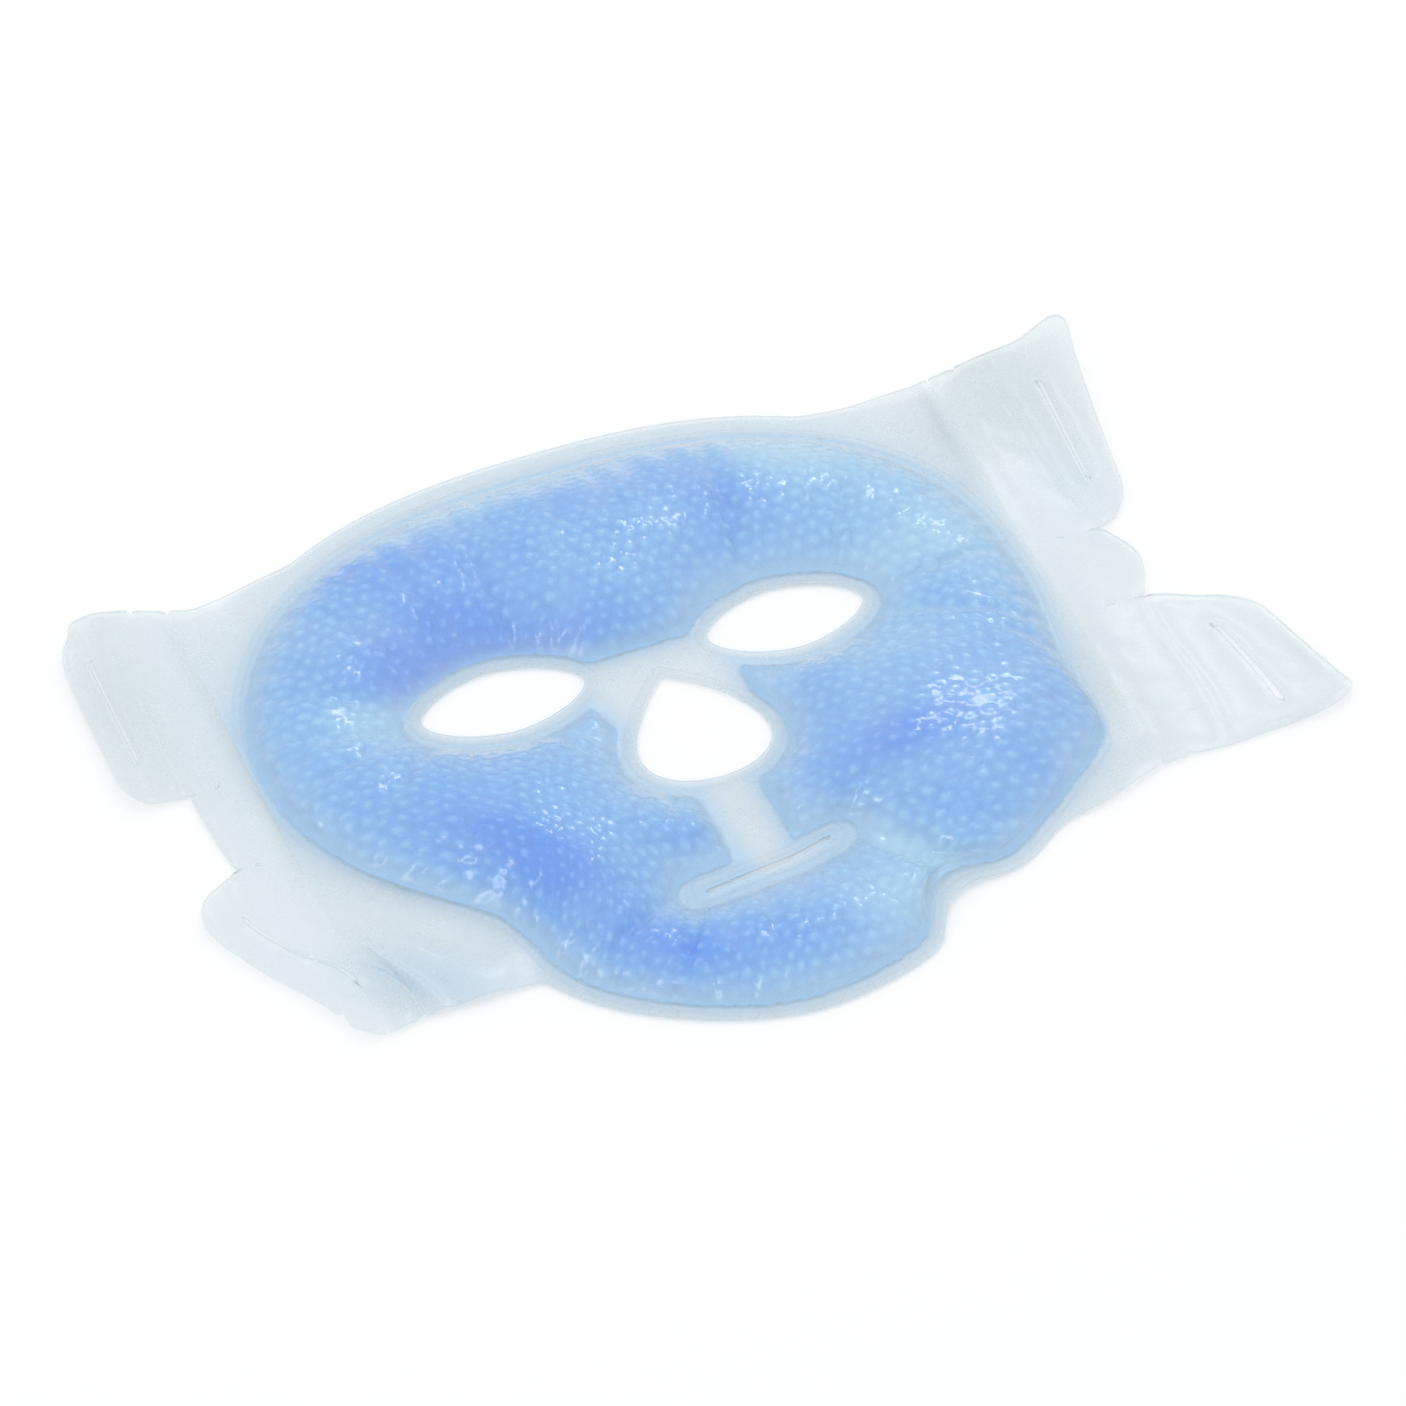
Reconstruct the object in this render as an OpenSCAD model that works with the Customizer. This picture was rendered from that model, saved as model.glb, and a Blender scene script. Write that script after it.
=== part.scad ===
// Full-face hot/cold gel mask, lying on its back film with the gel side up.
// The origin is the centre of the film's outline, on the surface that the mask lies on.
// X runs across the face, +Y towards the forehead, +Z away from the skin.

/* [Gel pad] */
// Width of the gel chamber at the cheeks
gel_w = 196; // [160:1:230]
// Reach of the gel above the eye line
gel_up = 69; // [60:1:85]
// Reach of the gel below the eye line
gel_down = 119; // [105:1:140]
// Drop of the widest line of the gel below the eye line
gel_wide_drop = 8; // [0:1:20]
// Height of the gel at the middle of the pad
gel_h = 12; // [6:0.5:13]
// Distance over which the gel swells from its edge to its full height
gel_swell = 30; // [16:1:40]
// Gap between the gel and the film over it
gel_gap = 0.1; // [0.05:0.05:0.3]

/* [Face openings] */
// Distance between the centres of the eye holes
eye_spacing = 75; // [66:1:84]
// Width of an eye hole
eye_w = 42; // [34:1:46]
// Height of an eye hole
eye_h = 21.5; // [16:0.5:26]
// Width of the nose hole
nose_w = 34; // [26:1:40]
// Height of the nose hole
nose_h = 37; // [30:1:44]
// Drop of the nose hole's tip below the eye line
nose_drop = 7; // [5:1:12]
// Reach of the mouth's welded strip past each end of its slit, before its welded border
mouth_end = 2; // [1:0.5:10]
// Height of the mouth's welded strip, before its welded border
mouth_h = 2; // [1:0.5:10]
// Drop of the mouth below the eye line
mouth_drop = 76; // [70:1:84]
// Length of the mouth slit
mouth_slit_l = 36; // [24:1:44]
// Width of the mouth slit
mouth_slit_w = 1.2; // [0.6:0.1:2]
// Width of the welded strip from the nose to the mouth
stem_w = 7; // [4:1:14]

/* [Film and welds] */
// Thickness of one film
film_t = 0.5; // [0.3:0.05:0.6]
// Film left outside the gel chamber at the forehead
forehead_margin = 8.5; // [6:0.5:12]
// Film left outside the gel chamber at the chin
chin_margin = 4.5; // [4.5:0.5:8]
// Welded film left between the weld bead of an opening and the gel
seal_gap = 1.5; // [1:0.1:3]
// Width of a weld bead
bead_w = 2.2; // [1:0.1:2.6]
// Height of a weld bead over the film
bead_h = 0.5; // [0.3:0.1:1]
// Film between a weld bead and the edge beside it
bead_inset = 0.8; // [0.5:0.1:1.2]

/* [Wings and strap tabs] */
// Film between the gel and the crease of a wing
cheek_film = 8; // [6.5:0.5:12]
// Width of a wing, from its crease to the tabs' crease
wing_w = 13; // [10:1:20]
// Width of a strap tab
tab_w = 23; // [18:1:34]
// Top edge of the upper tabs above the eye line
tab_top = 67; // [60:1:68]
// Height of an upper tab
upper_tab_h = 68; // [56:1:72]
// Height of the notch between the two tabs of a side
notch_h = 27; // [18:1:32]
// Height of a lower tab
lower_tab_h = 62; // [54:1:66]
// Corner radius of the tabs
tab_corner = 9; // [5:0.5:11]
// Length of a strap slit
slit_l = 38; // [25:1:40]
// Width of a strap slit
slit_w = 1.2; // [0.8:0.1:3]
// Gap between two panels along a crease
crease_gap = 0.6; // [0.4:0.1:0.9]

/* [Hidden] */
$fn = 20;

// the film's outline is the gel's, grown evenly and moved towards the forehead
film_margin = (forehead_margin + chin_margin) / 2;
margin_rise = (forehead_margin - chin_margin) / 2;
// height of the eye line over the middle of the outline
eye_y = (gel_down - gel_up) / 2 - margin_rise;
// roundness of the gel outline: above 2 is squarer, below 2 more pointed
forehead_power = 2.5;
chin_power = 1.8;
// roundness of the eye holes, which come to soft corners
eye_power = 1.7;
// layers that the gel's swelling side is built from
layers = 4;
outline_steps = 52;
// steps of a full circle where welded film is rounded
arc_steps = 12;
opening_steps = 24;
// sharpness of the nose hole's tip, and the widest value of the drop curve it gives
nose_tip = 1;
nose_widest = 0.77;
// half the width of the welded strip where it meets the sides of the nose hole
bridge_low = nose_w * 0.36;
mouth_w = mouth_slit_l + 2 * mouth_end;
// welded film between an opening and the gel: it holds the opening's weld bead
seal_w = bead_inset + bead_w + seal_gap;
// distances from the middle to a wing's crease, to the tabs' crease and to the tabs' outer edge
wing_x = gel_w / 2 + cheek_film;
tab_x = wing_x + wing_w;
reach = tab_x + tab_w;
notch_top = tab_top - upper_tab_h;
notch_low = notch_top - notch_h;
tab_low = notch_low - lower_tab_h;
// place of the dip in the film's edge between the forehead and the upper tab
shoulder_x = (gel_w / 2 + wing_x) / 2 - 4;
shoulder_y = tab_top - 8;
// where the film's lower edge leaves the padded face for the lower tab
cheek_x = gel_w * 0.3;
// both plies together
sheet_t = 2 * film_t;
// radius of the inner corners of the film's outline
inner_corner = 5;
// larger than the whole outline
far = 400;
// how far a cut runs past a face
cut = 1;

function signed_power(v, p) = sign(v) * pow(abs(v), p);

function oval(w, up, down, power_up, power_down, steps) = [
  for (i = [0:steps - 1])
    let (a = 360 * i / steps, p = sin(a) >= 0 ? power_up : power_down)
      [w / 2 * signed_power(cos(a), 2 / p), (sin(a) >= 0 ? up : down) * signed_power(sin(a), 2 / p)]
];

function drop_shape(w, h, steps) = [
  for (i = [0:steps - 1])
    let (a = 360 * i / steps)
      [w / 2 * sin(a) * pow(abs(sin(a / 2)), nose_tip) / nose_widest, h / 2 * (cos(a) - 1)]
];

module both_sides() {
  children();
  mirror([1, 0])
    children();
}

// ---- outlines, measured from the eye line ----

module gel_outline() {
  translate([0, -gel_wide_drop])
    polygon(oval(gel_w, gel_up + gel_wide_drop, gel_down - gel_wide_drop, forehead_power, chin_power, outline_steps));
}

module eye_hole() {
  translate([eye_spacing / 2, 0])
    polygon(oval(eye_w, eye_h / 2, eye_h / 2, eye_power, eye_power, opening_steps));
}

module nose_hole() {
  translate([0, -nose_drop])
    polygon(drop_shape(nose_w, nose_h, opening_steps));
}

module mouth_slit() {
  translate([0, -mouth_drop])
    square([mouth_slit_l, mouth_slit_w], center = true);
}

module mouth_strip() {
  translate([0, -mouth_drop])
    polygon(oval(mouth_w, mouth_h / 2, mouth_h / 2, 2, 2, opening_steps));
}

module nose_bridge() {
  inner_eye = (eye_spacing - eye_w) / 2;
  polygon([[-inner_eye, 0], [inner_eye, 0], [bridge_low, -nose_drop - nose_h / 2], [-bridge_low, -nose_drop - nose_h / 2]]);
}

module stem() {
  translate([-stem_w / 2, -mouth_drop])
    square([stem_w, mouth_drop - nose_drop - nose_h / 2]);
}

module openings() {
  both_sides()
    eye_hole();
  nose_hole();
  mouth_slit();
}

module sealed_film() {
  offset(r = seal_w, $fn = arc_steps) {
    both_sides()
      eye_hole();
    nose_hole();
    nose_bridge();
    stem();
    mouth_strip();
  }
}

module gel_area() {
  difference() {
    gel_outline();
    sealed_film();
  }
}

module side_panel() {
  polygon([
    [0, gel_up * 0.5], [cheek_x, gel_up - film_margin / 2], [shoulder_x, shoulder_y], [tab_x, tab_top],
    [reach, tab_top], [reach, notch_top], [tab_x, notch_top], [tab_x, notch_low],
    [reach, notch_low], [reach, tab_low], [cheek_x, tab_low], [0, tab_low + film_margin]
  ]);
}

module rounded(r) {
  offset(r = r)
    offset(delta = -r)
      children();
}

// the whole outline of the film: the padded face, and a side panel with two tabs on each side,
// with its inner corners rounded off
module sheet() {
  offset(r = -inner_corner)
    offset(delta = inner_corner) {
      translate([0, margin_rise])
        offset(delta = film_margin)
          gel_outline();
      both_sides()
        side_panel();
    }
}

module tab_outline(top, low) {
  intersection() {
    rounded(tab_corner)
      translate([tab_x - tab_w, low])
        square([2 * tab_w, top - low]);
    strip(tab_x + crease_gap / 2, reach);
  }
}

module strip(from_x, to_x) {
  translate([from_x, -far / 2])
    square([to_x - from_x, far]);
}

module face_sheet() {
  difference() {
    intersection() {
      sheet();
      translate([-wing_x + crease_gap / 2, -far / 2])
        square([2 * wing_x - crease_gap, far]);
    }
    openings();
  }
}

module wing_outline() {
  intersection() {
    sheet();
    strip(wing_x + crease_gap / 2, tab_x - crease_gap / 2);
  }
}

// ---- solids ----

module on_eye_line(z) {
  translate([0, eye_y, z])
    children();
}

// pad of stepped layers that follow a quarter ellipse; grow makes it larger all round
module pad(grow) {
  for (i = [0:layers - 1]) {
    inset = gel_swell * (1 - sqrt(1 - pow(i / layers, 2)));
    linear_extrude(gel_h * (i + 1) / layers + grow)
      offset(delta = grow - inset)
        gel_area();
  }
}

// raised bead that follows the outline it is given, starting start away from it
module weld_bead(start = bead_inset) {
  on_eye_line(sheet_t)
    linear_extrude(bead_h)
      difference() {
        offset(delta = start + bead_w)
          children();
        offset(delta = start)
          children();
      }
}

module strap_tab(top, low) {
  middle = (top + low) / 2;
  slit_x = tab_x + tab_w / 2;
  on_eye_line(0)
    difference() {
      linear_extrude(sheet_t)
        tab_outline(top, low);
      translate([slit_x - slit_w / 2, middle - slit_l / 2 + slit_w / 2, -cut])
        cube([slit_w, slit_l - slit_w, sheet_t + 2 * cut]);
      for (end = [-1, 1])
        translate([slit_x, middle + end * (slit_l - slit_w) / 2, -cut])
          cylinder(d = slit_w, h = sheet_t + 2 * cut);
    }
}

module back_film() {
  color("#e0e8eb")
    on_eye_line(0)
      linear_extrude(film_t)
        face_sheet();
}

module front_film() {
  color("#dce6ea")
    on_eye_line(film_t)
      difference() {
        union() {
          linear_extrude(film_t)
            face_sheet();
          pad(film_t);
        }
        translate([0, 0, -cut])
          linear_extrude(cut + gel_gap)
            offset(delta = gel_gap)
              gel_area();
        pad(gel_gap);
      }
}

module gel_fill() {
  color("#6fb4ee")
    on_eye_line(film_t)
      pad(0);
}

// the film over the gel ends film_t past the gel, so this bead starts that much further out
module perimeter_weld() {
  color("#c9dceb")
    weld_bead(film_t + bead_inset)
      gel_outline();
}

module left_eye_weld() {
  color("#c9dceb")
    weld_bead()
      mirror([1, 0])
        eye_hole();
}

module right_eye_weld() {
  color("#c9dceb")
    weld_bead()
      eye_hole();
}

module nose_weld() {
  color("#c9dceb")
    weld_bead()
      nose_hole();
}

module mouth_weld() {
  color("#c9dceb")
    weld_bead()
      mouth_slit();
}

module right_wing() {
  color("#dde5e6")
    on_eye_line(0)
      linear_extrude(sheet_t)
        wing_outline();
}

module left_wing() {
  mirror([1, 0, 0])
    right_wing();
}

module upper_right_tab() {
  color("#d8e1e2")
    strap_tab(tab_top, notch_top);
}

module lower_right_tab() {
  color("#e3e7ea")
    strap_tab(notch_low, tab_low);
}

module upper_left_tab() {
  mirror([1, 0, 0])
    upper_right_tab();
}

module lower_left_tab() {
  mirror([1, 0, 0])
    lower_right_tab();
}

back_film();
front_film();
gel_fill();
perimeter_weld();
left_eye_weld();
right_eye_weld();
nose_weld();
mouth_weld();
left_wing();
right_wing();
upper_left_tab();
lower_left_tab();
upper_right_tab();
lower_right_tab();
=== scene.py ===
"""A full-face hot and cold gel mask in clear film, lying on its back film with the gel side up.

Lengths are in millimetres and heights are measured from the table until a mesh is made. The plan of the
mask is measured from the middle of the eye line, with X across the face and Y towards the forehead.
"""
import logging
import math
from collections.abc import Callable, Mapping, Sequence
from dataclasses import dataclass, field
from enum import Enum

import bpy
import numpy as np
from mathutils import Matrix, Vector
from mathutils.geometry import delaunay_2d_cdt
from mathutils.kdtree import KDTree


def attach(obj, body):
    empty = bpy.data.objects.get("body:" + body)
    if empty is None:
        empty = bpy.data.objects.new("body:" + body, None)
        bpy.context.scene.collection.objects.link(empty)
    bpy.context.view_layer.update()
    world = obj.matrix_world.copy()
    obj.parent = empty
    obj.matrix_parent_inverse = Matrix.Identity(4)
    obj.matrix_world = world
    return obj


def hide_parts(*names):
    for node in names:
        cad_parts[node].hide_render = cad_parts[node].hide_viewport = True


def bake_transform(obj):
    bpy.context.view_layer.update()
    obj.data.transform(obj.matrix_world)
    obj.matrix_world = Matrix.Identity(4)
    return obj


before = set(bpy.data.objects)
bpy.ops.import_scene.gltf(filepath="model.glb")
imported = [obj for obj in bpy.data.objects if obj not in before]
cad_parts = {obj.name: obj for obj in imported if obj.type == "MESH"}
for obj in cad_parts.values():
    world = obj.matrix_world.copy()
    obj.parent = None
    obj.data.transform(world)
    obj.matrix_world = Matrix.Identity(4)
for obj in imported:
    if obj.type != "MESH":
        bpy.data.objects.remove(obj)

MM = 0.001
TINY = 1e-12
ROW_RATIO = 0.866
LOG = logging.getLogger("gel_mask")

Crossing = tuple[int, int, int]


class Side(Enum):
    """A side of the mask as it is seen from above, with the sign of its X."""

    LEFT = -1
    RIGHT = 1


class Level(Enum):
    """Which strap tab of a side is meant."""

    UPPER = "upper"
    LOWER = "lower"


class Skins(Enum):
    """Which surfaces of a piece are made."""

    BOTH = "both"
    UPPER = "upper"
    LOWER = "lower"


# ---- sizes ----


@dataclass(frozen=True)
class PadSizes:
    """The gel chamber."""

    width: float = 196.0
    up: float = 69.0
    down: float = 119.0
    wide_drop: float = 8.0
    height: float = 12.0
    film_gap: float = 0.1
    forehead_power: float = 2.5
    chin_power: float = 1.8


@dataclass(frozen=True)
class OpeningSizes:
    """The openings of the face and the welded strips that join them."""

    eye_spacing: float = 75.0
    eye_width: float = 42.0
    eye_height: float = 21.5
    eye_power: float = 1.7
    nose_width: float = 34.0
    nose_height: float = 37.0
    nose_drop: float = 7.0
    nose_widest: float = 0.77
    mouth_drop: float = 76.0
    mouth_height: float = 2.0
    mouth_end: float = 2.0
    slit_length: float = 36.0
    slit_width: float = 1.2
    stem_width: float = 7.0
    bridge_share: float = 0.36

    @property
    def mouth_width(self) -> float:
        """Width of the welded strip at the mouth."""
        return self.slit_length + 2 * self.mouth_end


@dataclass(frozen=True)
class FilmSizes:
    """The two plies of film and the beads that weld them."""

    ply: float = 0.5
    forehead_margin: float = 8.5
    chin_margin: float = 4.5
    bead_inset: float = 0.8
    bead_width: float = 2.2
    bead_height: float = 0.5
    seal_gap: float = 1.5
    inner_corner: float = 5.0

    @property
    def margin(self) -> float:
        """Film outside the gel chamber, on the average."""
        return (self.forehead_margin + self.chin_margin) / 2

    @property
    def rise(self) -> float:
        """How far the film's outline is moved towards the forehead."""
        return (self.forehead_margin - self.chin_margin) / 2

    @property
    def seal(self) -> float:
        """Welded film between an opening and the gel."""
        return self.bead_inset + self.bead_width + self.seal_gap

    @property
    def both(self) -> float:
        """Both plies together."""
        return 2 * self.ply


@dataclass(frozen=True)
class SideSizes:
    """The wings, their creases and their strap tabs."""

    wing_crease: float = 106.0
    tab_crease: float = 119.0
    reach: float = 142.0
    tab_top: float = 67.0
    notch_top: float = -1.0
    notch_low: float = -28.0
    tab_low: float = -90.0
    corner: float = 9.0
    slit_length: float = 38.0
    slit_width: float = 1.2
    cheek_share: float = 0.3
    shoulder_inset: float = 4.0
    shoulder_drop: float = 8.0
    face_seam: float = 103.0
    tab_seam: float = 111.0
    seam_slack: float = 0.35
    notch_slack: float = 0.05
    bend: float = 2.6

    def rows(self, level: Level) -> tuple[float, float]:
        """Returns the top and the low edge of a tab."""
        upper, lower = (self.tab_top, self.notch_top), (self.notch_low, self.tab_low)
        return upper if level is Level.UPPER else lower


PAD, OPENINGS, FILM, SIDES = PadSizes(), OpeningSizes(), FilmSizes(), SideSizes()
EYE_LINE = (PAD.down - PAD.up) / 2 - FILM.rise


# ---- plan shapes ----


def signed_power(value: np.ndarray, power: float) -> np.ndarray:
    """Returns the value's size raised to a power, with the value's sign."""
    return np.sign(value) * np.abs(value) ** power


def oval(
    width: float, up: float, down: float, power_up: float, power_down: float, steps: int = 120
) -> np.ndarray:
    """Returns the corners of an oval whose upper and lower halves have their own roundness.

    Args:
        width: The oval's full width.
        up: How far its top is above its middle.
        down: How far its low end is below its middle.
        power_up: The roundness of the upper half, 2 for an ellipse.
        power_down: The roundness of the lower half.
        steps: How many corners it has.

    Returns:
        The corners, an N by 2 array.
    """
    a = np.linspace(0, 2 * math.pi, steps, endpoint=False)
    power = np.where(np.sin(a) >= 0, power_up, power_down)
    x = width / 2 * signed_power(np.cos(a), 2 / power)
    y = np.where(np.sin(a) >= 0, up, down) * signed_power(np.sin(a), 2 / power)
    return np.column_stack([x, y])


def drop(width: float, height: float, widest: float, steps: int = 72) -> np.ndarray:
    """Returns the corners of a drop with its tip at the origin.

    Args:
        width: The drop's width.
        height: The drop's height.
        widest: The curve's own reach at its widest, which brings it to the width.
        steps: How many corners it has.

    Returns:
        The corners, an N by 2 array.
    """
    a = np.linspace(0, 2 * math.pi, steps, endpoint=False)
    x = width / 2 * np.sin(a) * np.abs(np.sin(a / 2)) / widest
    return np.column_stack([x, height / 2 * (np.cos(a) - 1)])


def box(x0: float, x1: float, y0: float, y1: float) -> np.ndarray:
    """Returns the corners of a rectangle."""
    return np.array([[x0, y0], [x1, y0], [x1, y1], [x0, y1]], float)


class Shape:
    """An area of the plan, held as the signed distance to its edge, negative inside."""

    GRID = 1.0
    REACH = (-168.0, 168.0, -140.0, 96.0)
    CLOSING_STEP = 2.5
    FEWEST = 8

    def __init__(self, distance: Callable[[np.ndarray], np.ndarray]) -> None:
        """Keeps the function that measures the distance of points."""
        self.distance = distance

    @classmethod
    def polygon(cls, corners: np.ndarray) -> "Shape":
        """Returns the area inside a polygon.

        Args:
            corners: The polygon's corners in order, an N by 2 array.

        Returns:
            The area.
        """
        starts, ends = corners, np.roll(corners, -1, 0)

        def distance(p: np.ndarray) -> np.ndarray:
            """Returns the signed distance of each point.

            Args:
                p: Points of the plan, an N by 2 array.

            Returns:
                The distances, negative inside.
            """
            far = np.full(len(p), np.inf)
            inside = np.zeros(len(p), bool)
            for s, e in zip(starts, ends):
                d = e - s
                t = np.clip(((p - s) @ d) / max(d @ d, TINY), 0, 1)
                far = np.minimum(far, np.hypot(*(p - s - t[:, None] * d).T))
                rise = d[1] if abs(d[1]) > TINY else TINY
                level = (s[1] > p[:, 1]) != (e[1] > p[:, 1])
                inside ^= level & (p[:, 0] < s[0] + (p[:, 1] - s[1]) * d[0] / rise)
            return np.where(inside, -far, far)

        return cls(distance)

    @classmethod
    def beyond(cls, axis: int, at: float, sign: int = 1) -> "Shape":
        """Returns the half plane where the coordinate, times sign, is over at."""
        return cls(lambda p: at - sign * p[:, axis])

    def __or__(self, other: "Shape") -> "Shape":
        """Returns both areas together."""
        return Shape(lambda p: np.minimum(self.distance(p), other.distance(p)))

    def __and__(self, other: "Shape") -> "Shape":
        """Returns where the areas overlap."""
        return Shape(lambda p: np.maximum(self.distance(p), other.distance(p)))

    def __sub__(self, other: "Shape") -> "Shape":
        """Returns this area without the other."""
        return Shape(lambda p: np.maximum(self.distance(p), -other.distance(p)))

    def grown(self, by: float) -> "Shape":
        """Returns the area made larger all round."""
        return Shape(lambda p: self.distance(p) - by)

    def raised(self, by: float) -> "Shape":
        """Returns the area moved towards the forehead."""
        return Shape(lambda p: self.distance(p - np.array([0.0, by])))

    def mirrored(self) -> "Shape":
        """Returns the area on the other side of the face."""
        return Shape(lambda p: self.distance(p * np.array([-1.0, 1.0])))

    def _sampled(self) -> tuple[np.ndarray, np.ndarray, np.ndarray]:
        """Measures the area on a grid.

        Returns:
            The grid's columns, its rows and the distance at each of its points.
        """
        x0, x1, y0, y1 = self.REACH
        xs, ys = np.arange(x0, x1, self.GRID), np.arange(y0, y1, self.GRID)
        gx, gy = np.meshgrid(xs, ys)
        return xs, ys, self.distance(np.column_stack([gx.ravel(), gy.ravel()])).reshape(gx.shape)

    def baked(self) -> "Shape":
        """Measures the area once on a grid, so that it is quick to ask again.

        Returns:
            The same area, whose distances are read from the grid.
        """
        xs, ys, values = self._sampled()

        def distance(p: np.ndarray) -> np.ndarray:
            """Returns the signed distance of each point, read between the grid's points.

            Args:
                p: Points of the plan, an N by 2 array.

            Returns:
                The distances, negative inside.
            """
            u = np.clip((p[:, 0] - xs[0]) / self.GRID, 0, len(xs) - 1.001)
            v = np.clip((p[:, 1] - ys[0]) / self.GRID, 0, len(ys) - 1.001)
            i, j = u.astype(int), v.astype(int)
            a, b = u - i, v - j
            low = values[j, i] * (1 - a) + values[j, i + 1] * a
            return low * (1 - b) + (values[j + 1, i] * (1 - a) + values[j + 1, i + 1] * a) * b

        return Shape(distance)

    def closed(self, radius: float) -> "Shape":
        """Returns the area with its inner corners rounded."""
        loops = self.grown(radius).edges(self.CLOSING_STEP)
        return Shape.polygon(max(loops, key=len)).grown(-radius)

    def edges(self, step: float) -> list[np.ndarray]:
        """Follows the area's edge across the cells of the grid.

        Args:
            step: The distance wanted between a loop's points.

        Returns:
            The edge as closed loops, each an N by 2 array.
        """
        xs, ys, values = self._sampled()
        values[values == 0] = 1e-9
        links: dict[Crossing, list[Crossing]] = {}
        places: dict[Crossing, np.ndarray] = {}
        low = values < 0
        first = low[:-1, :-1]
        mixed = (first != low[:-1, 1:]) | (first != low[1:, :-1]) | (first != low[1:, 1:])
        for j, i in zip(*np.nonzero(mixed)):
            found = []
            for key, a, b in (
                ((i, j, 0), (j, i), (j, i + 1)),
                ((i + 1, j, 1), (j, i + 1), (j + 1, i + 1)),
                ((i, j + 1, 0), (j + 1, i), (j + 1, i + 1)),
                ((i, j, 1), (j, i), (j + 1, i)),
            ):
                if low[a] != low[b]:
                    t = values[a] / (values[a] - values[b])
                    start, end = np.array([xs[a[1]], ys[a[0]]]), np.array([xs[b[1]], ys[b[0]]])
                    places[key] = start + t * (end - start)
                    found.append(key)
            for a, b in zip(found[::2], found[1::2]):
                links.setdefault(a, []).append(b)
                links.setdefault(b, []).append(a)
        return [spaced(loop, step) for loop in self._walk(links, places) if len(loop) > self.FEWEST]

    @staticmethod
    def _walk(links: dict[Crossing, list[Crossing]], places: dict[Crossing, np.ndarray]) -> list[np.ndarray]:
        """Follows the links from crossing to crossing.

        Args:
            links: The crossings next to each crossing of the edge and the grid's lines.
            places: Where each crossing is.

        Returns:
            The closed chains of places, each an N by 2 array.
        """
        loops = []
        left = set(links)
        while left:
            key = first = min(left)
            loop = []
            while key in left:
                left.discard(key)
                loop.append(places[key])
                key = next((n for n in links[key] if n in left), first)
            loops.append(np.array(loop))
        return loops


def spaced(loop: np.ndarray, step: float) -> np.ndarray:
    """Spreads a closed loop's points evenly.

    Args:
        loop: The loop's points in order, an N by 2 array.
        step: The distance wanted between points.

    Returns:
        The new points, never fewer than eight.
    """
    ring = np.vstack([loop, loop[:1]])
    length = np.concatenate([[0], np.cumsum(np.hypot(*np.diff(ring, axis=0).T))])
    count = max(8, round(length[-1] / step))
    at = np.linspace(0, length[-1], count, endpoint=False)
    return np.column_stack([np.interp(at, length, ring[:, k]) for k in (0, 1)])


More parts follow.
